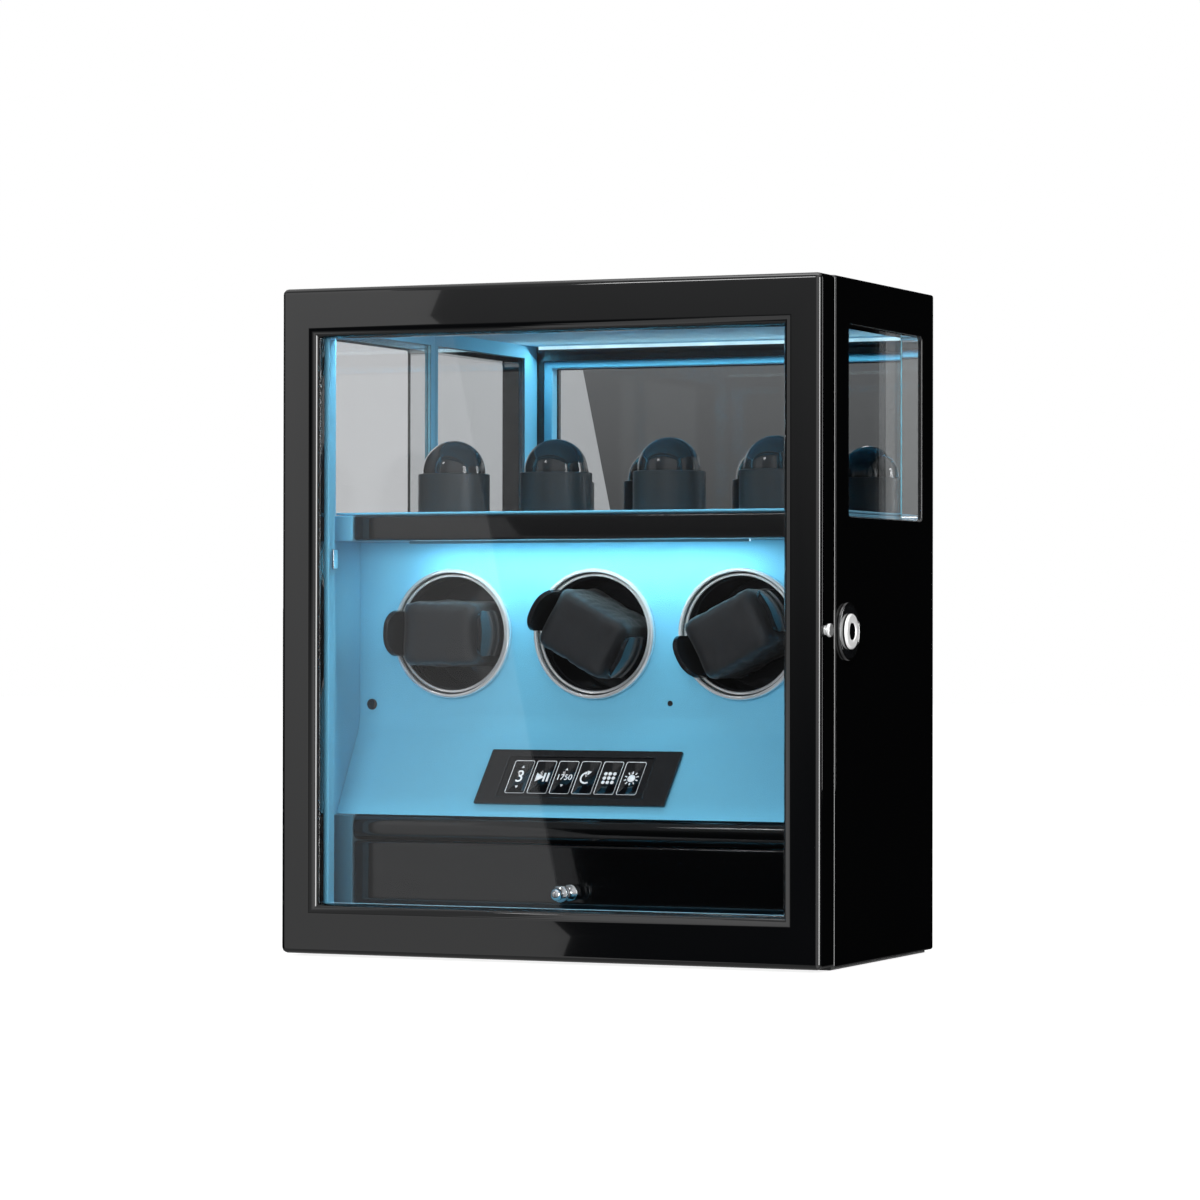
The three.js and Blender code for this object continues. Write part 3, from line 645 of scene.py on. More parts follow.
def case_shell():
    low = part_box("case_bottom")[0]
    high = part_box("case_top")[1]
    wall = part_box("case_bottom")[1].z - low.z
    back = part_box("case_back")[0].y
    shell = slab(low, high, settings().case_edge, 4)
    cutters = [slab_mesh((low.x + wall, low.y - wall, low.z + wall), (high.x - wall, back, high.z - wall))]
    cutters += window_cutters("left", low.x) + window_cutters("right", high.x)
    inlet = centre_of("dc_inlet")
    barrel, flange, seat = INLET_BARREL + 0.4 * MM, INLET_FLANGE + FIT, high.y - 2 * MM
    cutters.append(turned(
        [(0, back - wall), (barrel, back - wall), (barrel, seat), (flange, seat),
         (flange, high.y + wall), (0, high.y + wall)], "y", inlet, 48))
    lock = centre_of("lock_body")
    barrel = LOCK_BARREL + FIT
    inside, outside = high.x - 2 * wall, high.x + wall
    cutters.append(turned([(0, inside), (barrel, inside), (barrel, outside), (0, outside)], "x", lock, 48))
    bolt_low, bolt_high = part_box("latch_bolt")
    cutters.append(slab_mesh(
        bolt_low - Vector((FIT, 3 * MM, FIT)), (bolt_high.x + FIT, lock.y, bolt_high.z + FIT)))
    for name in ("lower", "upper"):
        leaf_low, leaf_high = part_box(name + "_hinge_case_leaf")
        cutters.append(slab_mesh(
            (low.x - 5 * MM, low.y - 5 * MM, leaf_low.z - FIT),
            (leaf_high.x + FIT, low.y + LEAF_THICK + FIT, leaf_high.z + FIT)))
    shell = trimmed(shell, cutters)
    pane_low, pane_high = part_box("right_window_glass")
    rims = [e for e in shell.edges if len(e.link_faces) == 2 and e.calc_face_angle() > SHARP
            and all(abs(abs(v.co.x) - high.x) < 1e-5 and pane_low.z < v.co.z < pane_high.z
                    and pane_low.y < v.co.y < pane_high.y for v in e.verts)]
    soften(shell, 0.9 * MM, 3, rims)

    def inner(face):
        at = face.calc_center_median()
        beside_pane = pane_low.y < at.y < pane_high.y and pane_low.z < at.z < pane_high.z
        if beside_pane and pane_high.x < abs(at.x) < high.x - 2.4 * MM:
            return 2
        inside_x = abs(at.x) < high.x - wall + FIT
        inside_z = low.z + wall - FIT < at.z < high.z - wall + FIT
        return 1 if inside_x and inside_z and low.y + 0.4 * MM < at.y < back + FIT else 0

    piece("case_shell", shell, ["lacquer", "lining", "mirror"], "case",
          ("case_bottom", "case_top", "case_left_side", "case_right_side", "case_back"), chooser=inner)


def window_pane(side):
    low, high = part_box(side + "_window_glass")
    pane = slab(low, high, settings().pane_edge, 2)

    def by_edge(face):
        return 0 if abs(face.normal.x) > 0.9 else 1

    # painted glow: the pane's edge faces take the light-blue edge colour that stands for light caught in the
    # glass
    piece(side + "_window_pane", pane, ["side_glass", "painted_glow_glass_edge"], "case",
          (side + "_window_glass",), chooser=by_edge)


def power_inlet():
    centre = centre_of("dc_inlet")
    front, face = (corner.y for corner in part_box("dc_inlet"))
    profile = [(0, front), (INLET_BARREL - 0.6 * MM, front), (INLET_BARREL, front + 0.6 * MM)]
    profile += section([
        (5, 1.5), (8, 1.5), (8, 0.6), (7.5, 0), (3.5, 0), (3, 0.5), (3, 10), (1, 10),
        (1, 2.4), (0.6, 1.8), (0, 1.8)], face, -1)

    def pin(side):
        deep = face - side.calc_center_median().y
        return 1 if from_axis(side, centre, "y") < 1.1 * MM and deep < 9.9 * MM else 0

    piece("power_inlet", turned(profile, "y", centre, 48), ["gloss_black", "chrome"], "case",
          ("dc_inlet",), chooser=pin)


class CABINET_OT_case(bpy.types.Operator):
    """Builds the lacquered case, its side panes, the felt under it and the power inlet"""

    bl_idname = "cabinet.build_case"
    bl_label = "Case"

    def execute(self, context):
        case_shell()
        for side in ("left", "right"):
            window_pane(side)
        low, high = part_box("base_felt")
        piece("felt_pad", slab(low, high, 0.5 * MM, 2), "felt", "case", ("base_felt",))
        power_inlet()
        return {"FINISHED"}


# ---- display compartment ---------------------------------------------------------------------------
def lined_board(name, node, edge=0.8 * MM, finish="lining", body="case", segments=3):
    low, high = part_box(node)
    return piece(name, slab(low, high, edge, segments), finish, body, (node,))


def display_shelf():
    low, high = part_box("display_shelf")
    nosing_low, nosing_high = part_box("shelf_nosing")
    board = slab_mesh(low, high)
    recess = slab_mesh(
        (nosing_low.x - FIT, low.y - FIT, low.z - FIT),
        (nosing_high.x + FIT, nosing_high.y + FIT, high.z + FIT))
    board = soften(trimmed(board, [recess]), 0.6 * MM, 2)
    piece("shelf_board", board, "lining", "case", ("display_shelf",))
    lined_board("shelf_front", "shelf_nosing", 2 * MM, "lacquer", segments=5)
    lined_board("shelf_velvet", "shelf_mat", 0.6 * MM)
    lined_board("back_mirror", "display_mirror", 0.3 * MM, "mirror", segments=2)


def watch_stand(number):
    node = "watch_stand_%d" % number
    low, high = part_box(node)
    centre = centre_of(node)
    steps = settings().round_steps
    wide = (high.x - low.x) / 2
    shoulder = low.z + 24.5 * MM
    collar = [
        (0, low.z), (wide - 0.6 * MM, low.z), (wide, low.z + 0.6 * MM), (wide, shoulder - 0.7 * MM),
        (wide - 0.3 * MM, shoulder - 0.2 * MM), (wide - 0.9 * MM, shoulder), (wide - 2.1 * MM, shoulder),
        (wide - 2.4 * MM, shoulder - 0.8 * MM), (0, shoulder - 0.8 * MM),
    ]
    piece("stand_collar_%d" % number, turned(collar, "z", centre, steps), "collar", "case")
    radius = wide - 2.7 * MM
    base = high.z - radius
    dome = [(0, shoulder - 0.6 * MM), (radius, shoulder - 0.6 * MM)] + arc((0, base), radius, 0, 90, 24)
    dome[-1] = (0, high.z)
    piece("stand_dome_%d" % number, turned(dome, "z", centre, steps), "gloss_black", "case",
          (node,))


def light_bar(name, node, hidden):
    """A dark channel round a frosted strip; a hidden bar is only as tall as its strip."""
    low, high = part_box(node)
    if hidden:
        low.z = high.z - 1.6 * MM
    shield = low.y + (high.y - low.y) * 0.35
    ledge = low.z + (high.z - low.z) * (0.2 if hidden else 0.5)
    front = slab(low, (high.x, shield, high.z), 0.5 * MM)
    strip = slab((low.x + MM, shield + 0.2 * MM, ledge), (high.x - MM, high.y - 0.4 * MM, high.z), 0.15 * MM)
    if hidden:
        # painted shade: the hidden bar's channel wears the lining darkened to stand for the shade there
        piece(name + "_channel", front, "shaded_lining", "case")
    else:
        floor = slab((low.x, shield - 0.6 * MM, low.z), (high.x, high.y, ledge), 0.2 * MM, 2)
        piece(name + "_channel", joined(front, floor), "gloss_black", "case")
    piece(name + "_strip", strip, "light_bar", "case", (node,))


class CABINET_OT_display(bpy.types.Operator):
    """Builds the display shelf, the mirror behind it, the watch stands and both light bars"""

    bl_idname = "cabinet.build_display"
    bl_label = "Display compartment"

    def execute(self, context):
        display_shelf()
        for number in (1, 2, 3, 4):
            watch_stand(number)
        light_bar("display_light", "display_light_bar", False)
        light_bar("winder_light", "winder_light_bar", True)
        return {"FINISHED"}


# ---- winder panel and console ----------------------------------------------------------------------
def rotor_axis(number):
    """The point on a rotor's axis at the front of its cup."""
    low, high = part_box("rotor_%d_cup" % number)
    return Vector(((low.x + high.x) / 2, low.y, (low.z + high.z) / 2))


def winder_panel():
    low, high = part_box("winder_panel")
    slope = settings().console_slope
    thick = 4 * MM
    face = high.y - thick
    crease = low.z + (face - low.y) / math.tan(slope)
    bend = thick * math.tan(slope / 2)
    outline = [
        (low.y, low.z), (low.y + thick / math.cos(slope), low.z), (high.y, crease - bend),
        (high.y, high.z), (face, high.z), (face, crease),
    ]
    bm = bmesh.new()
    end = bm.faces.new([bm.verts.new((low.x, y, z)) for y, z in outline])
    extruded(end, bm, (high.x - low.x, 0, 0))
    fold = [e for e in bm.edges
            if all(abs(v.co.z - crease) < MM and abs(v.co.y - face) < MM for v in e.verts)]
    soften(bm, 7 * MM, 6, fold)
    lens = centre_of("receiver_lens")
    holes = [(37.2, rotor_axis(number), settings().round_steps) for number in ROTORS] + [(3.5, lens, 48)]
    cutters = []
    for radius, place, steps in holes:
        hole = section([(0, 0), (radius, 0), (radius, 29), (0, 29)], face - 20 * MM)
        cutters.append(turned(hole, "y", place, steps))
    piece("winder_lining_panel", trimmed(bm, cutters), "lining", "case", ("winder_panel",))
    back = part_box("receiver_lens")[1].y
    lens_profile = [(0, back), (3.3 * MM, back)]
    lens_profile += section([(3.3, 0.2), (2.9, 0.5), (1.6, 0.9), (0, 1)], face, -1)
    piece("receiver_window", turned(lens_profile, "y", lens, 48), "gloss_black", "case",
          ("receiver_lens",))
    eye = Vector((48.5 * MM, 0, lens.z + 2 * MM))
    eye_profile = section([(0, -1), (1.7, -1), (1.7, 0.15), (1.3, 0.35), (1.0, 0.1), (0, 0)], face, -1)
    piece("light_sensor", turned(eye_profile, "y", eye, 32), "gloss_black", "case")


class ConsolePlane:
    """The console's sloping face: x across, y into the panel, z up the slope."""

    def __init__(self):
        low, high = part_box("control_bezel")
        self.slope = settings().console_slope
        self.thick = 2.6 * MM
        self.tall = (high.z - low.z - self.thick * math.sin(self.slope)) / math.cos(self.slope)
        self.wide = high.x - low.x
        self.matrix = Matrix.Translation((low + high) / 2) @ Matrix.Rotation(-self.slope, 4, "X")

    def place(self, bm):
        bmesh.ops.transform(bm, matrix=self.matrix, verts=bm.verts)
        return bm


def leaning(bm, lean):
    """Shears a plate sideways: lean is how far x moves for each metre up."""
    for vert in bm.verts:
        vert.co.x += vert.co.z * lean
    return bm


def outline_ring(low, high, line, depth, lean):
    """A thin raised line round a rectangle with rounded corners."""
    bm = slab_mesh((low[0], -depth, low[1]), (high[0], 0, high[1]))
    corners = [e for e in bm.edges if abs(e.verts[0].co.y - e.verts[1].co.y) > depth / 2]
    soften(bm, 1.1 * MM, 4, corners)
    faces = [f for f in bm.faces if f.normal.y < -0.9]
    bmesh.ops.inset_region(bm, faces=faces, thickness=line, use_even_offset=True)
    inner = [f for f in bm.faces if f.normal.y < -0.9 and f in faces]
    bmesh.ops.translate(bm, verts=list({v for f in inner for v in f.verts}), vec=(0, depth * 0.9, 0))
    rim = [f for f in bm.faces if f not in inner]
    for face in bm.faces:
        face.material_index = 1 if face in rim else 0
    return leaning(bm, lean)


def text_marks(body, size):
    """Flat digits as a mesh, centred on the origin in the XZ plane."""
    curve = bpy.data.curves.new("digits", "FONT")
    curve.body = body
    curve.size = size
    curve.align_x = "CENTER"
    curve.align_y = "CENTER"
    curve.extrude = MARK_THICK / 2
    holder = bpy.data.objects.new("digits", curve)
    bpy.context.scene.collection.objects.link(holder)
    bpy.context.view_layer.update()
    mesh = bpy.data.meshes.new_from_object(holder.evaluated_get(bpy.context.evaluated_depsgraph_get()))
    bpy.data.objects.remove(holder)
    bm = bmesh.new()
    bm.from_mesh(mesh)
    bpy.data.meshes.remove(mesh)
    bmesh.ops.rotate(bm, verts=bm.verts, matrix=Matrix.Rotation(math.radians(90), 3, "X"))
    return bm


def bar_mark(x0, x1, z0, z1):
    half = MARK_THICK / 2
    return slab_mesh((x0 * MM, -half, z0 * MM), (x1 * MM, half, z1 * MM))


def disc_mark(radius, x=0.0, z=0.0, sides=32):
    bm = bmesh.new()
    bmesh.ops.create_cone(
        bm, cap_ends=True, segments=sides, radius1=radius * MM, radius2=radius * MM, depth=MARK_THICK,
        matrix=Matrix.Translation((x * MM, 0, z * MM)) @ Matrix.Rotation(math.radians(90), 4, "X"))
    return bm


def arc_mark(radius, line, start, end):
    """A flat curved stroke in the XZ plane."""
    bm = bmesh.new()
    inner, outer = (radius - line / 2) * MM, (radius + line / 2) * MM
    half = MARK_THICK / 2
    first = Matrix.Rotation(-math.radians(start), 3, "Y")
    corners = [(inner, -half), (outer, -half), (outer, half), (inner, half)]
    face = bm.faces.new([bm.verts.new(first @ Vector((r, y, 0))) for r, y in corners])
    bmesh.ops.spin(
        bm, geom=[face, *face.edges, *face.verts], cent=(0, 0, 0), axis=(0, -1, 0), dvec=(0, 0, 0),
        angle=math.radians(end - start), steps=20, use_merge=False, use_duplicate=False)
    bmesh.ops.recalc_face_normals(bm, faces=bm.faces)
    return bm


def arrow_mark(size, x, z, turn):
    """A small solid triangle; turn is the way that it points, in degrees from up."""
    bm = bmesh.new()
    bmesh.ops.create_cone(
        bm, cap_ends=True, segments=3, radius1=size * MM, radius2=size * MM, depth=MARK_THICK,
        matrix=Matrix.Rotation(math.radians(90), 4, "X"))
    bmesh.ops.rotate(bm, verts=bm.verts, matrix=Matrix.Rotation(math.radians(turn), 3, "Y"))
    bmesh.ops.translate(bm, verts=bm.verts, vec=(x * MM, 0, z * MM))
    return bm


def digit_mark():
    return joined(text_marks("3", 11 * MM), arrow_mark(1.0, 0, 6.6, 0), arrow_mark(1.0, 0, -6.6, 180))


def count_mark():
    return joined(text_marks("1750", 5.2 * MM), arrow_mark(1.0, 0, 5.4, 0), arrow_mark(1.0, 0, -5.4, 180))


def play_pause_mark():
    return joined(arrow_mark(3.4, -2.2, 0, 90), bar_mark(0.9, 2.1, -2.9, 2.9), bar_mark(3.2, 4.4, -2.9, 2.9))


def turn_mark():
    return joined(arc_mark(3.6, 1.0, 100, 300), arrow_mark(1.7, 0.6, 3.6, 75))


def grid_mark():
    dots = [disc_mark(1.1, x * 2.9, z * 2.9, 16) for x in (-1, 0, 1) for z in (-1, 0, 1)]
    return joined(*dots)


def lamp_mark():
    rays = []
    for step in range(10):
        ray = bar_mark(-0.3, 0.3, 3.1, 4.6)
        turn = Matrix.Rotation(math.tau * step / 10, 3, "Y")
        bmesh.ops.rotate(ray, verts=ray.verts, cent=(0, 0, 0), matrix=turn)
        rays.append(ray)
    return joined(disc_mark(2.4), *rays)


def touch_console():
    plane = ConsolePlane()
    half_wide = (plane.wide - 4.6 * MM) / 2
    half_tall = plane.tall / 2
    front = -plane.thick / 2
    bezel = frame_ring(
        (-half_wide, front, -half_tall), (half_wide, -front, half_tall),
        (-half_wide + 13.2 * MM, -half_tall + 4.8 * MM), (half_wide - 16.2 * MM, half_tall - 4.8 * MM))
    soften(bezel, 0.8 * MM, 3)
    piece("console_bezel", plane.place(leaning(bezel, CONSOLE_LEAN)), "gloss_black", "case",
          ("control_bezel",))
    left, right = -half_wide + 13.4 * MM, half_wide - 16.4 * MM
    low, high = -half_tall + 5 * MM, half_tall - 5 * MM
    glass = slab((left, front + MM, low), (right, front + 2.2 * MM, high), 0.3 * MM, 2)
    piece("console_glass", plane.place(leaning(glass, CONSOLE_LEAN)), "screen", "case",
          ("control_screen",))
    marks = [digit_mark(), play_pause_mark(), count_mark(), turn_mark(), grid_mark(), lamp_mark()]
    pitch = (right - left - 7 * MM) / len(marks)
    face = front + MM
    for number, mark in enumerate(marks):
        middle = left + 3.5 * MM + pitch * (number + 0.5)
        key = outline_ring(
            (middle - pitch * 0.44, low + 2.4 * MM), (middle + pitch * 0.44, high - 2.4 * MM),
            0.24 * MM, 0.25 * MM, CONSOLE_LEAN)
        bmesh.ops.translate(key, verts=key.verts, vec=(0, face, 0))
        piece("console_key_%d" % (number + 1), plane.place(key), ["screen", "mark"], "case",
              weighted=False)
        bmesh.ops.translate(mark, verts=mark.verts, vec=(middle, face - 0.1 * MM, 0))
        piece("console_mark_%d" % (number + 1), plane.place(leaning(mark, CONSOLE_LEAN)), "mark",
            "case",
              weighted=False)


class CABINET_OT_panel(bpy.types.Operator):
    """Builds the lined winder panel, its lens and sensor, and the touch console"""

    bl_idname = "cabinet.build_panel"
    bl_label = "Winder panel and console"

    def execute(self, context):
        winder_panel()
        touch_console()
        return {"FINISHED"}


# ---- rotors ----------------------------------------------------------------------------------------
def rotor_bezel(number):
    node = "rotor_%d_bezel" % number
    low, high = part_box(node)
    outer = (high.x - low.x) / 2
    inner = outer - 2.5 * MM
    seat, front = high.y, low.y
    profile = [(inner, seat), (outer, seat), (outer, seat - 1.4 * MM)]
    profile += arc((outer - 1.6 * MM, front + 1.6 * MM), 1.6 * MM, 0, -90, 8)
    profile += arc((inner + 0.7 * MM, front + 0.7 * MM), 0.7 * MM, -90, -180, 4)
    profile += [(inner, seat)]
    bm = turned(profile, "y", centre_of(node), settings().round_steps)
    piece("bezel_%d" % number, bm, "rim", "case", (node,))


def rotor_cup(number):
    node = "rotor_%d_cup" % number
    low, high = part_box(node)
    axis = rotor_axis(number)
    outer = (high.x - low.x) / 2
    inside = outer - 2 * MM
    front = low.y
    floor = front + 43 * MM
    back = floor + 3 * MM
    profile = [(0, floor), (15 * MM, floor), (15.4 * MM, floor - 1.2 * MM), (17 * MM, floor - 1.2 * MM),
               (17.4 * MM, floor), (inside - 1.5 * MM, floor)]
    profile += arc((inside - 1.5 * MM, floor - 1.5 * MM), 1.5 * MM, 90, 0, 5)[1:]
    profile += [(inside, front + 9 * MM), (inside - 0.7 * MM, front + 8.6 * MM),
                (inside - 0.7 * MM, front + 7.2 * MM), (inside, front + 6.8 * MM)]
    profile += [(inside, front + 0.6 * MM), (inside + 0.5 * MM, front), (outer - 0.5 * MM, front),
                (outer, front + 0.5 * MM), (outer, back - MM), (outer - MM, back), (12 * MM, back),
                (12 * MM, back + 8.5 * MM), (5 * MM, back + 8.5 * MM), (5 * MM, high.y - 0.5 * MM),
                (4.5 * MM, high.y), (0, high.y)]
    cup = turned(profile, "y", axis, settings().round_steps)

    def lip(face):
        ahead = face.calc_center_median().y < front + 0.7 * MM
        return 1 if ahead and from_axis(face, axis, "y") > inside - MM else 0

    piece("cup_%d" % number, joined(cup, ring_gear(number)), ["gloss_black", "rim"], "rotor_%d" % number,
          (node,), chooser=lip)


def ring_gear(number):
    """The ring of teeth behind the cup, in mesh with the motor's pinion."""
    axis = rotor_axis(number)
    pitch = GEAR_TEETH * GEAR_MODULE / 2
    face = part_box("rotor_%d_pinion" % number)[0].y
    root, tip = (pitch - MM, 1.35 * MM), (pitch + 0.75 * MM, 0.55 * MM)
    bm = bmesh.new()
    outline = []
    for tooth in range(GEAR_TEETH):
        middle = -math.pi / 2 + math.pi / GEAR_TEETH + math.tau * tooth / GEAR_TEETH
        for (radius, half), side in ((root, -1), (tip, -1), (tip, 1), (root, 1)):
            angle = middle + side * half / radius
            outline.append(bm.verts.new(
                (axis.x + radius * math.cos(angle), face, axis.z + radius * math.sin(angle))))
    return extruded(bm.faces.new(outline), bm, (0, GEAR_WIDTH, 0))


def to_rotor(bm, number):
    """Moves a mesh made on rotor 1's upright cushion to a rotor's own axis and rest angle."""
    home, axis = rotor_axis(1), rotor_axis(number)
    turn = Matrix.Rotation(math.radians(REST_ANGLES[number]), 4, "Y")
    matrix = Matrix.Translation(axis) @ turn @ Matrix.Translation(-home)
    bmesh.ops.transform(bm, matrix=matrix, verts=bm.verts)
    return bm


def cushion_ear(side):
    """One curved ear of the cushion holder: a rounded plate bent round the cup's axis."""
    low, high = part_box("rotor_1_cushion_frame")
    axis = rotor_axis(1)
    outer = (high.x - low.x) / 2
    half = math.asin((high.z - low.z) / 2 / outer)
    reach = half * outer * 1.14
    bm = slab_mesh((outer - EAR_THICK, low.y, -reach), (outer, high.y, reach))
    corners = [e for e in bm.edges
               if abs(e.verts[0].co.x - e.verts[1].co.x) > MM and max(v.co.y for v in e.verts) < low.y + MM]
    soften(bm, 10 * MM, 12, corners)
    soften(bm, 0.8 * MM, 3)
    for step in range(1, 20):
        height = reach * (step / 10 - 1)
        bmesh.ops.bisect_plane(
            bm, geom=[*bm.verts, *bm.edges, *bm.faces], plane_co=(0, 0, height), plane_no=(0, 0, 1))
    for vert in bm.verts:
        radius, angle = vert.co.x, vert.co.z / outer
        vert.co.x = axis.x + side * radius * math.cos(angle)
        vert.co.z = axis.z + radius * math.sin(angle)
    bmesh.ops.recalc_face_normals(bm, faces=bm.faces)
    return bm


def cushion_holder(number):
    low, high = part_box("rotor_1_cushion_frame")
    middle, half = rotor_axis(1).z, 9 * MM
    bridge = slab((low.x + EAR_THICK / 2, high.y - EAR_THICK, middle - half),
                  (high.x - EAR_THICK / 2, high.y, middle + half), 0.6 * MM, 2)
    bm = joined(cushion_ear(1), cushion_ear(-1), bridge)
    piece("cushion_holder_%d" % number, to_rotor(bm, number), "holder", "cushion_%d" % number,
          ("rotor_%d_cushion_frame" % number,))


def stuffed_pad():
    """The pad's mesh on rotor 1, swollen by a cloth simulation under a little pressure."""
    low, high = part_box("rotor_1_cushion_pad")
    slim = Vector((1.6, 1.4, 1.6)) * MM
    block = slab_mesh(low + slim, high - slim)
    ends = [e for e in block.edges if abs(e.verts[0].co.z - e.verts[1].co.z) > MM
            and e.verts[0].co.y < centre_of("rotor_1_cushion_pad").y]
    soften(block, 10 * MM, 8, ends)
    holder = scratch_object("pad_source", soften(block, 5 * MM, 5))
    remesh = holder.modifiers.new("remesh", "REMESH")
    remesh.mode = "VOXEL"
    remesh.voxel_size = 1.9 * MM
    graph = bpy.context.evaluated_depsgraph_get()
    mesh = bpy.data.meshes.new_from_object(holder.evaluated_get(graph))
    bpy.data.objects.remove(holder)
    rest = [vert.co.copy() for vert in mesh.vertices]
    mesh = inflated(mesh)
    most = 2.4 * MM
    for vert, start in zip(mesh.vertices, rest):
        move = vert.co - start
        if move.length > most:
            vert.co = start + move.normalized() * most
    return mesh


def inflated(mesh):
    scene = bpy.context.scene
    pad = bpy.data.objects.new("pad_cloth", mesh)
    scene.collection.objects.link(pad)
    cloth = pad.modifiers.new("cloth", "CLOTH")
    cloth.settings.use_pressure = True
    cloth.settings.uniform_pressure_force = settings().cushion_pressure
    cloth.settings.effector_weights.gravity = 0.0
    cloth.settings.quality = 5
    cloth.settings.tension_stiffness = 12.0
    cloth.settings.compression_stiffness = 12.0
    cloth.settings.bending_stiffness = 0.4
    cloth.collision_settings.use_self_collision = False
    cloth.point_cache.frame_end = 20
    for step in range(1, 19):
        scene.frame_set(step)
    result = bpy.data.meshes.new_from_object(pad.evaluated_get(bpy.context.evaluated_depsgraph_get()))
    bpy.data.objects.remove(pad)
    scene.frame_set(1)
    return result


def pucker(bm, number):
    """Draws the cover into small folds along the long edges."""
    low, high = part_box("rotor_1_cushion_pad")
    centre = (low + high) / 2
    half = (high - low) / 2
    depth = settings().wrinkle_depth
    seed = Vector((number * 7.3, number * 3.1, 0))
    bm.normal_update()
    moves = {}
    for vert in bm.verts:
        here = vert.co - centre
        near_edge = max(0.0, 1 - abs(half.z - abs(here.z)) / (7 * MM))
        fold = noise.noise(Vector((here.x * 330, here.y * 90, here.z * 120)) + seed)
        ripple = noise.noise(Vector((here.x * 640, here.y * 300, here.z * 300)) + seed)
        bulge = noise.noise(Vector((here.x * 60, here.y * 60, here.z * 60)) + seed)
        moves[vert] = vert.normal * (near_edge * (fold * depth + ripple * depth * 0.45) + bulge * depth * 0.5)
    for vert, move in moves.items():
        vert.co += move


def cushion_pads():
    mesh = stuffed_pad()
    for number in ROTORS:
        bm = bmesh.new()
        bm.from_mesh(mesh)
        pucker(bm, number)
        made = piece(
            "cushion_pad_%d" % number, to_rotor(bm, number), "cushion", "cushion_%d" % number,
            ("rotor_%d_cushion_pad" % number,), weighted=False)
        smooth = made.modifiers.new("smooth", "SUBSURF")
        smooth.levels = smooth.render_levels = 1
    bpy.data.meshes.remove(mesh)


class CABINET_OT_rotors(bpy.types.Operator):
    """Builds the chrome bezels, the rotor cups and the cushion holders"""

    bl_idname = "cabinet.build_rotors"
    bl_label = "Rotors"

    def execute(self, context):
        for number in ROTORS:
            rotor_bezel(number)
            rotor_cup(number)
            cushion_holder(number)
        return {"FINISHED"}


class CABINET_OT_cushions(bpy.types.Operator):
    """Stuffs the three watch cushions"""

    bl_idname = "cabinet.build_cushions"
    bl_label = "Watch cushions"

    def execute(self, context):
        cushion_pads()
        return {"FINISHED"}


# ---- divider and drawer ----------------------------------------------------------------------------
def drawer_tray():
    low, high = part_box("drawer_tray")
    bm = slab_mesh(low, high)
    top = max(bm.faces, key=lambda f: f.calc_center_median().z)
    bmesh.ops.inset_region(bm, faces=[top], thickness=5 * MM, use_even_offset=True)
    bmesh.ops.translate(
        bm, verts=bmesh.ops.extrude_discrete_faces(bm, faces=[top])["faces"][0].verts,
        vec=(0, 0, low.z + 4 * MM - high.z))
    soften(bm, 0.8 * MM, 2)

    def inside(face):
        middle = face.calc_center_median()
        return 1 if (low.x + 4 * MM < middle.x < high.x - 4 * MM and low.y + 4 * MM < middle.y < high.y - 4 * MM
                     and middle.z > low.z + MM) else 0

    piece("drawer_box", bm, ["board", "drawer_lining"], "drawer", ("drawer_tray",), chooser=inside)


def drawer_knob():
    low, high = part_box("drawer_knob")
    front, back = low.y, high.y
    ball = arc((0, front + 3.8 * MM), 3.8 * MM, -90, 38, 14)
    ball[0] = (0, front)
    beads = section([
        (2.4, 6.6), (2.4, 7.2), (4.6, 7.8), (5, 8.4), (5, 9.4), (4.6, 10), (3, 10.4), (3, 12),
        (4.4, 12.5), (4.4, 14), (2.6, 14.6), (2.2, 17)], front)
    profile = ball + beads + section([(2.2, 3.5), (4.6, 2.6), (5, 2), (5, 0), (0, 0)], back, -1)
    piece("knob", turned(profile, "y", centre_of("drawer_knob"), 64), "chrome", "drawer",
          ("drawer_knob",))


class CABINET_OT_drawer(bpy.types.Operator):
    """Builds the divider, the lined cheeks and the drawer with its knob"""

    bl_idname = "cabinet.build_drawer"
    bl_label = "Divider and drawer"

    def execute(self, context):
        low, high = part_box("divider")
        board = slab_mesh(low, high)
        nose = [e for e in board.edges if all(abs(v.co.y - low.y) < 1e-6 for v in e.verts)
                and abs(e.verts[0].co.x - e.verts[1].co.x) > MM]
        soften(board, 6 * MM, 8, nose)
        soften(board, 0.6 * MM, 2)
        piece("divider_board", board, "lacquer", "case", ("divider",))
        for side in ("left", "right"):
            # painted shade: the cheeks beside the drawer wear the lining darkened to stand for the shade that
            # falls there
            lined_board(side + "_cheek_block", side + "_cheek", 0.8 * MM, "shaded_lining")
        lined_board("drawer_face", "drawer_front", 1.4 * MM, "lacquer", "drawer", 4)
        drawer_tray()
        drawer_knob()
        return {"FINISHED"}


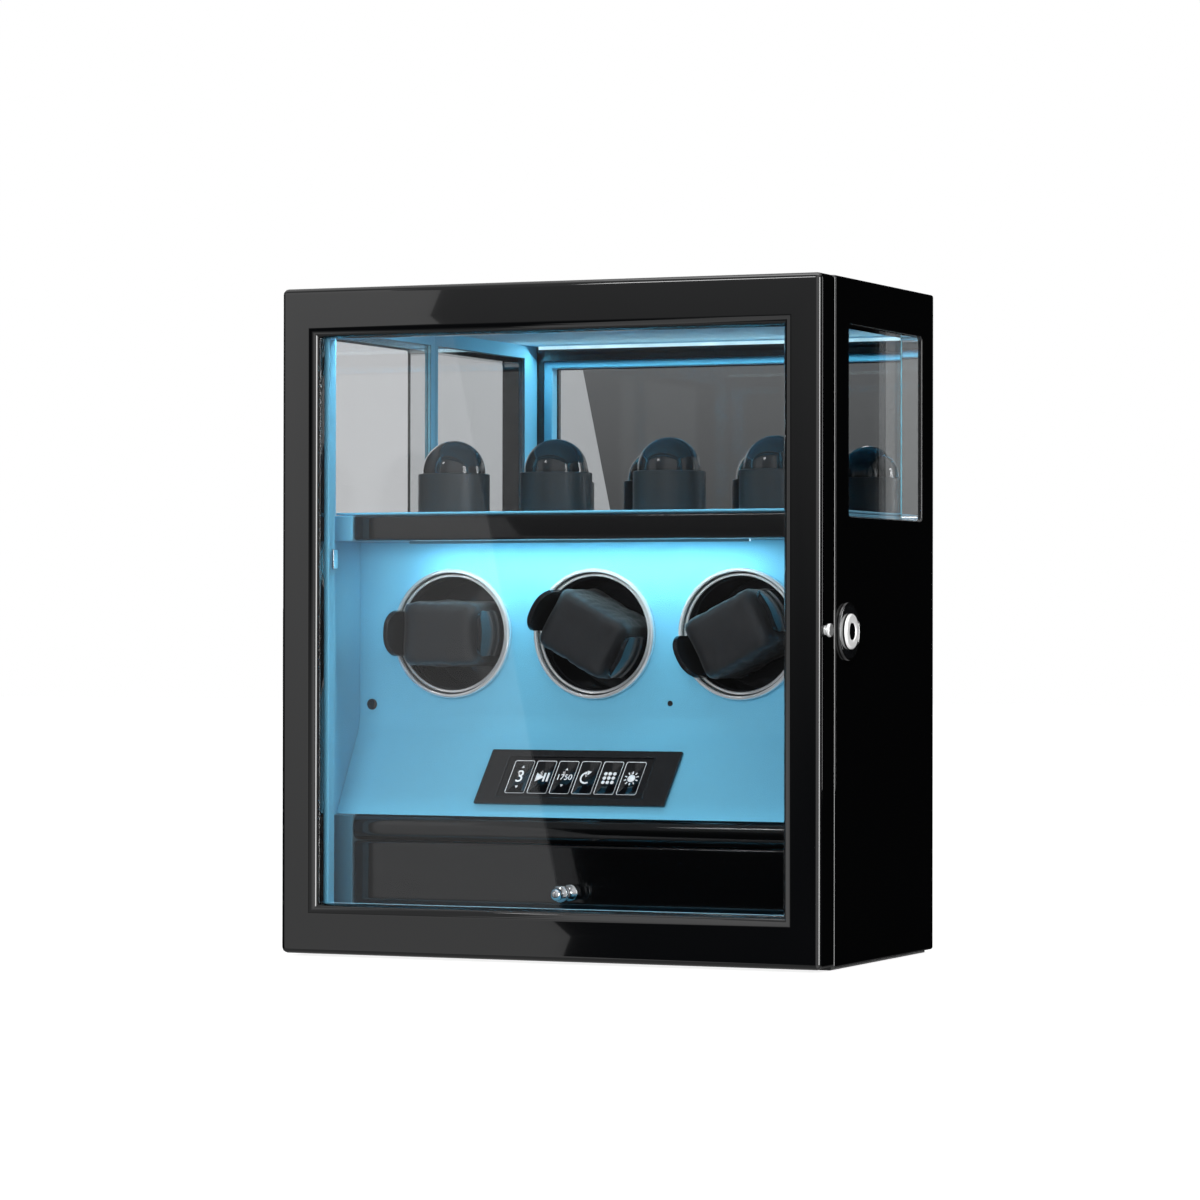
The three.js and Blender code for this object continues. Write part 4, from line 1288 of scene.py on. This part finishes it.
# ---- door ------------------------------------------------------------------------------------------
def door_frame():
    low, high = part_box("door_frame")
    pane_low, pane_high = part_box("door_glass")
    edge = settings().door_edge
    border = DOOR_REBATE - FIT
    opening_low = (pane_low.x + border, pane_low.z + border)
    opening_high = (pane_high.x - border, pane_high.z - border)
    gap = 0.25 * MM
    bm = frame_ring(
        low, high, opening_low, opening_high,
        (pane_low.y - gap, (pane_low.x - gap, pane_low.z - gap), (pane_high.x + gap, pane_high.z + gap)))
    front = [e for e in bm.edges if all(abs(v.co.y - low.y) < 1e-6 for v in e.verts)]
    front = [e for e in front if e.calc_face_angle(0) > SHARP]
    uprights = [e for e in bm.edges if abs(e.verts[0].co.y - e.verts[1].co.y) > 15 * MM]
    middle = (low + high) / 2
    reach = ((opening_high[0] - opening_low[0]) / 2 + MM, (opening_high[1] - opening_low[1]) / 2 + MM)

    def of_opening(e):
        return all(abs(v.co.x - middle.x) < reach[0] and abs(v.co.z - (opening_low[1] + opening_high[1]) / 2)
                   < reach[1] for v in e.verts)

    outer = [e for e in front + uprights if not of_opening(e)]
    soften(bm, edge, 6, outer)
    corners = [e for e in bm.edges if of_opening(e) and abs(e.verts[0].co.y - e.verts[1].co.y) > 5 * MM
               and all(v.co.y < low.y + 9 * MM for v in e.verts)]
    soften(bm, 2.5 * MM, 5, corners)
    opening = [e for e in bm.edges if of_opening(e) and len(e.link_faces) == 2 and e.calc_face_angle() > SHARP
               and all(v.co.y < low.y + 0.1 * MM for v in e.verts)]
    soften(bm, settings().opening_round, 10, opening)
    cutters = []
    strike_low, strike_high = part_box("strike_plate")
    play = Vector((FIT, FIT, FIT))
    cutters.append(slab_mesh(strike_low - play, strike_high + play * 8))
    bolt_low, bolt_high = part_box("latch_bolt")
    cutters.append(slab_mesh(
        (bolt_low.x - MM, high.y - 8 * MM, bolt_low.z - MM), (bolt_high.x + MM, high.y + MM, bolt_high.z + MM)))
    for name in ("lower", "upper"):
        leaf_low, leaf_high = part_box(name + "_hinge_door_leaf")
        cutters.append(slab_mesh(
            (low.x - 5 * MM, high.y - LEAF_THICK - FIT, leaf_low.z - SEAT_OVERRUN),
            (leaf_high.x + FIT, high.y + 5 * MM, leaf_high.z + SEAT_OVERRUN)))
    piece("door_surround", trimmed(bm, cutters), "lacquer", "door", ("door_frame",))


def door_pane():
    low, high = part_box("door_glass")

    def by_edge(face):
        return 0 if abs(face.normal.y) > 0.9 else 1

    pane = slab(low, high, settings().pane_edge, 2)
    # painted glow: the pane's edge faces take the light-blue edge colour that stands for light caught in the
    # glass
    piece("door_pane", pane, ["glass", "painted_glow_glass_edge"], "door", ("door_glass",),
          chooser=by_edge)


def glass_retainer():
    low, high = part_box("glass_retainer")
    margin = Vector((6.2, 0, 4.8)) * MM
    bm = frame_ring(low, high, (low.x + margin.x, low.z + margin.z), (high.x - margin.x, high.z - margin.z))
    soften(bm, 0.8 * MM, 3)
    piece("pane_retainer", bm, "lining", "door", ("glass_retainer",))


def stay_clip():
    """A small sprung clip on the retainer's hinge side."""
    low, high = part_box("glass_retainer")
    x = low.x + 7.4 * MM
    bm = slab((x, low.y + 1.5 * MM, 0.232), (x + 1.4 * MM, high.y - 1.5 * MM, 0.244), 0.5 * MM)
    piece("door_clip", bm, "chrome", "door")


class CABINET_OT_door(bpy.types.Operator):
    """Builds the door frame, its pane, the lined retainer and the clip"""

    bl_idname = "cabinet.build_door"
    bl_label = "Door"

    def execute(self, context):
        door_frame()
        door_pane()
        glass_retainer()
        stay_clip()
        return {"FINISHED"}


# ---- hardware --------------------------------------------------------------------------------------
def door_pull():
    low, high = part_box("door_pull")
    base, tip = low.x, high.x
    radius = (high.z - low.z) / 2
    profile = section([(0, 0), (2.8, 0), (2.8, 0.5), (2.2, 0.9), (2.2, 1.3)], base)
    profile += [(radius - 0.3 * MM, base + 1.7 * MM), (radius, base + 2.1 * MM)]
    profile += [(radius, tip - 0.9 * MM)] + arc((radius - 0.9 * MM, tip - 0.9 * MM), 0.9 * MM, 0, 90, 5)[1:]
    profile += [(0, tip)]
    piece("pull_stud", turned(profile, "x", centre_of("door_pull"), 64), "rim", "door",
          ("door_pull",))


def lock():
    low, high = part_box("lock_body")
    centre = centre_of("lock_body")
    face = high.x
    steps = settings().round_steps
    wide = (high.z - low.z) / 2
    body = [(0, low.x), (LOCK_BARREL, low.x), (LOCK_BARREL, face - 1.5 * MM), (wide, face - 1.5 * MM),
            (wide, face - 0.5 * MM), (wide - 0.5 * MM, face), (wide - 1.3 * MM, face),
            (wide - 1.5 * MM, face - 0.2 * MM), (0, face - 0.2 * MM)]

    def rim(side):
        return 1 if wide - 1.45 * MM < from_axis(side, centre, "x") < wide - 0.55 * MM else 0

    piece("lock_escutcheon", turned(body, "x", centre, steps), ["gloss_black", "chrome"], "case",
          ("lock_body",), chooser=rim)
    low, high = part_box("lock_sensor_ring")
    wide = (high.z - low.z) / 2
    base, tip = low.x, high.x
    ring = [(0, base), (wide, base), (wide, tip - 1.2 * MM)]
    ring += arc((wide - 1.2 * MM, tip - 1.2 * MM), 1.2 * MM, 0, 90, 6)[1:]
    ring += [(5.8 * MM, tip), (5.2 * MM, tip - 0.8 * MM), (0, tip - 0.8 * MM)]
    # painted reflection: the ring's near-white finish stands for the white studio reflected in its chrome face
    piece("sensor_ring", turned(ring, "x", centre, steps), "bright_ring", "case",
          ("lock_sensor_ring",))
    pad = section([(0, 0.75), (5, 0.75), (4.9, 0.5), (3.5, 0.62), (0, 0.7)], tip, -1)
    piece("sensor_pad", turned(pad, "x", centre, 64), "screen", "case")


def hinge(name):
    for leaf in ("case", "door"):
        node = "%s_hinge_%s_leaf" % (name, leaf)
        low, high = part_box(node)
        pin_low, pin_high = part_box(name + "_hinge_case_leaf")
        pin_x, pin_y = pin_low.x + 2.6 * MM, pin_low.y + 2.6 * MM
        half = (pin_high.z - pin_low.z) / 2
        middle = (pin_high.z + pin_low.z) / 2
        third = half / 3
        if leaf == "case":
            stretches = [(-half, -third - 0.1 * MM), (third + 0.1 * MM, half)]
            y0, y1 = pin_y + 0.75 * MM, pin_y + 1.9 * MM
        else:
            stretches = [(-third + 0.1 * MM, third - 0.1 * MM)]
            y0, y1 = pin_y - 1.9 * MM, pin_y - 0.75 * MM
        parts = [slab((pin_x + 2.9 * MM, y0, middle - half), (high.x, y1, middle + half), 0.2 * MM, 2)]
        for start, end in stretches:
            bottom, top = middle + start, middle + end
            barrel = [(0, bottom), (2.4 * MM, bottom), (2.6 * MM, bottom + 0.2 * MM),
                      (2.6 * MM, top - 0.2 * MM), (2.4 * MM, top), (0, top)]
            parts.append(turned(barrel, "z", (pin_x, pin_y, 0), 48))
        piece("%s_%s_hinge_leaf" % (name, leaf), joined(*parts), "steel", leaf, (node,))


class CABINET_OT_hardware(bpy.types.Operator):
    """Builds the lock, the pull stud, the latch, its strike and the hinges"""

    bl_idname = "cabinet.build_hardware"
    bl_label = "Lock, latch and hinges"

    def execute(self, context):
        door_pull()
        lock()
        lined_board("bolt", "latch_bolt", 0.6 * MM, "chrome", "latch")
        low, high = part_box("strike_plate")
        bolt_low, bolt_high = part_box("latch_bolt")
        play = 0.8 * MM
        strike = frame_ring(
            low, high, (bolt_low.x - play, bolt_low.z - play), (bolt_high.x + play, bolt_high.z + play))
        piece("strike", soften(strike, 0.25 * MM, 2), "steel", "door", ("strike_plate",))
        for name in ("lower", "upper"):
            hinge(name)
        return {"FINISHED"}


class CABINET_OT_mechanism(bpy.types.Operator):
    """Gives the hidden motors, pinions and drive plate their finishes"""

    bl_idname = "cabinet.dress_mechanism"
    bl_label = "Mechanism"

    def execute(self, context):
        looks = {"drive_plate": "board"}
        for number in ROTORS:
            looks["rotor_%d_motor" % number] = "steel"
            looks["rotor_%d_pinion" % number] = "nylon"
        for node, finish in looks.items():
            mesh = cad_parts[node].data
            mesh.materials.clear()
            mesh.materials.append(FINISHES[finish])
        return {"FINISHED"}


# ---- stage -----------------------------------------------------------------------------------------
def aim(thing, target):
    thing.rotation_euler = (Vector(target) - thing.location).to_track_quat("-Z", "Y").to_euler()


def soft_light(name, place, target, size, power, colour=(1, 1, 1), glossy=True):
    data = bpy.data.lights.new(name, "AREA")
    data.shape = "RECTANGLE"
    data.size, data.size_y = size
    data.energy = power
    data.color = colour
    lamp = bpy.data.objects.new(name, data)
    bpy.context.scene.collection.objects.link(lamp)
    lamp.location = place
    aim(lamp, target)
    lamp.visible_camera = False
    lamp.visible_glossy = glossy
    return lamp


def studio_world():
    """White to the camera; to the gloss, a dim room that is lighter above and in front."""
    world = bpy.data.worlds.new("studio")
    bpy.context.scene.world = world
    look = Finish(world)
    direction = look.node("ShaderNodeTexCoord", output="Generated")
    split = look.tree.nodes.new("ShaderNodeSeparateXYZ")
    look.tree.links.new(direction.socket, split.inputs[0])
    x, y, z = (Wire(look, split.outputs[index]) for index in range(3))

    def ramp(value, start, end, low, high):
        return look.node("ShaderNodeMapRange", {"interpolation_type": "SMOOTHSTEP"},
                         {"Value": value, "From Min": start, "From Max": end, "To Min": low, "To Max": high})

    ahead = ramp(y, 0.3, -0.4, 0.0, 1.0)
    rise = ramp(z, -0.06, 0.14, 0.0, 0.42) * ahead
    right = ramp(x, -0.14, 0.25, 0.0, 0.85) * ahead
    below = ramp(z, -0.25, -0.6, 0.0, 0.35)
    above = ramp(z, 0.4, 0.8, 0.0, 0.8) * ramp(y, -0.35, -0.15, 0.0, 1.0)
    strength = rise + right + below + above + 0.002
    room = look.node("ShaderNodeBackground", {}, {"Color": (1, 1, 1), "Strength": strength})
    white = look.node("ShaderNodeBackground", {}, {"Color": (1, 1, 1), "Strength": 1.0})
    seen = look.node("ShaderNodeLightPath", output="Is Camera Ray")
    look.finish(look.node("ShaderNodeMixShader", {}, {0: seen, 1: room, 2: white}), "ShaderNodeOutputWorld")


def pale_floor():
    bm = bmesh.new()
    bmesh.ops.create_grid(bm, x_segments=1, y_segments=1, size=9.0)
    floor = scratch_object("floor", bm)
    look = new_finish("pale_floor")
    paper = look.surface(Base_Color=(0.32, 0.32, 0.32), Roughness=0.8)
    glow = look.node("ShaderNodeEmission", {}, {"Color": (1, 1, 1), "Strength": 0.86})
    floor.data.materials.append(look.finish(look.node("ShaderNodeAddShader", {}, {0: paper, 1: glow})))
    floor.visible_glossy = False
    floor.visible_diffuse = False


def camera():
    data = bpy.data.cameras.new("camera")
    data.lens = 134.85
    data.sensor_width = 36.0
    data.clip_end = 60.0
    view = bpy.data.objects.new("camera", data)
    bpy.context.scene.collection.objects.link(view)
    view.location = (1.07937, DOOR_FACE - 2.39642, 0.19403)
    view.rotation_euler = (math.radians(90.418), math.radians(-0.085), math.radians(23.529))
    bpy.context.scene.camera = view


def studio_lights():
    tint = tuple(bpy.context.scene.cabinet_colours.light)
    card = soft_light("left_card", (-1.965, DOOR_FACE - 2.0, 0.4), (0, 0, 0.2), (1.9, 3.4), 15.0)
    card.rotation_euler = (math.radians(90), math.radians(-11.8), 0)
    strip = soft_light("right_strip", (2.4, -1.15, 0.35), (0, 0, 0.2), (0.6, 1.8), 40.0)
    strip.visible_diffuse = False
    soft_light("overhead", (0.1, -0.3, 2.3), (0, 0, 0.2), (1.6, 1.6), 16.0)
    soft_light("back_right", (2.0, 1.6, 0.7), (0, 0, 0.2), (0.5, 1.4), 6.0)
    soft_light("back_left", (-1.9, 1.9, 0.9), (0, 0, 0.2), (0.6, 1.4), 6.0)
    soft_light("front_fill", (0.3, -2.6, 0.5), (0, 0, 0.15), (1.6, 1.2), 92.0, glossy=False)
    soft_light("high_window", (-0.75, -1.95, 1.5), (0, 0, 0.3), (0.3, 0.3), 4.0)
    low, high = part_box("winder_light_bar")
    middle = (low + high) / 2
    place, target = (middle.x, middle.y + 3 * MM, low.z - MM), (middle.x, middle.y + 30 * MM, low.z - 90 * MM)
    soft_light("winder_glow", place, target, (high.x - low.x, 6 * MM), 0.22, tint, glossy=False)
    low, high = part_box("display_light_bar")
    middle = (low + high) / 2
    place, target = (middle.x, high.y + 2 * MM, low.z + MM), (middle.x, middle.y + 60 * MM, low.z - 100 * MM)
    soft_light("display_glow", place, target, (high.x - low.x, 6 * MM), 0.55, tint, glossy=False)


class CABINET_OT_stage(bpy.types.Operator):
    """Sets the camera, the pale floor, the studio lights and the room"""

    bl_idname = "cabinet.set_stage"
    bl_label = "Stage"

    def execute(self, context):
        camera()
        pale_floor()
        studio_lights()
        studio_world()
        context.scene.view_settings.view_transform = "Standard"
        return {"FINISHED"}


# ---- add-on ----------------------------------------------------------------------------------------
OPERATORS = (
    CABINET_OT_stage, CABINET_OT_case, CABINET_OT_display, CABINET_OT_panel, CABINET_OT_rotors,
    CABINET_OT_cushions, CABINET_OT_drawer, CABINET_OT_door, CABINET_OT_hardware, CABINET_OT_mechanism,
)


class CABINET_PT_panel(bpy.types.Panel):
    """Lists the settings and the pieces"""

    bl_label = "Watch winder cabinet"
    bl_idname = "CABINET_PT_panel"
    bl_space_type = "VIEW_3D"
    bl_region_type = "UI"
    bl_category = "Cabinet"

    def draw(self, context):
        for group in (context.scene.cabinet_sizes, context.scene.cabinet_colours):
            for name in group.bl_rna.properties.keys():
                if name not in ("rna_type", "name"):
                    self.layout.prop(group, name)
        for operator in OPERATORS:
            self.layout.operator(operator.bl_idname)


CLASSES = (CabinetSizes, CabinetColours, *OPERATORS, CABINET_PT_panel)


def register():
    for made in CLASSES:
        bpy.utils.register_class(made)
    bpy.types.Scene.cabinet_sizes = PointerProperty(type=CabinetSizes)
    bpy.types.Scene.cabinet_colours = PointerProperty(type=CabinetColours)


def unregister():
    del bpy.types.Scene.cabinet_colours
    del bpy.types.Scene.cabinet_sizes
    for made in reversed(CLASSES):
        bpy.utils.unregister_class(made)


def main():
    register()
    make_finishes(bpy.context.scene.cabinet_colours)
    for operator in OPERATORS:
        group, name = operator.bl_idname.split(".")
        getattr(getattr(bpy.ops, group), name)()


if __name__ == "__main__":
    main()
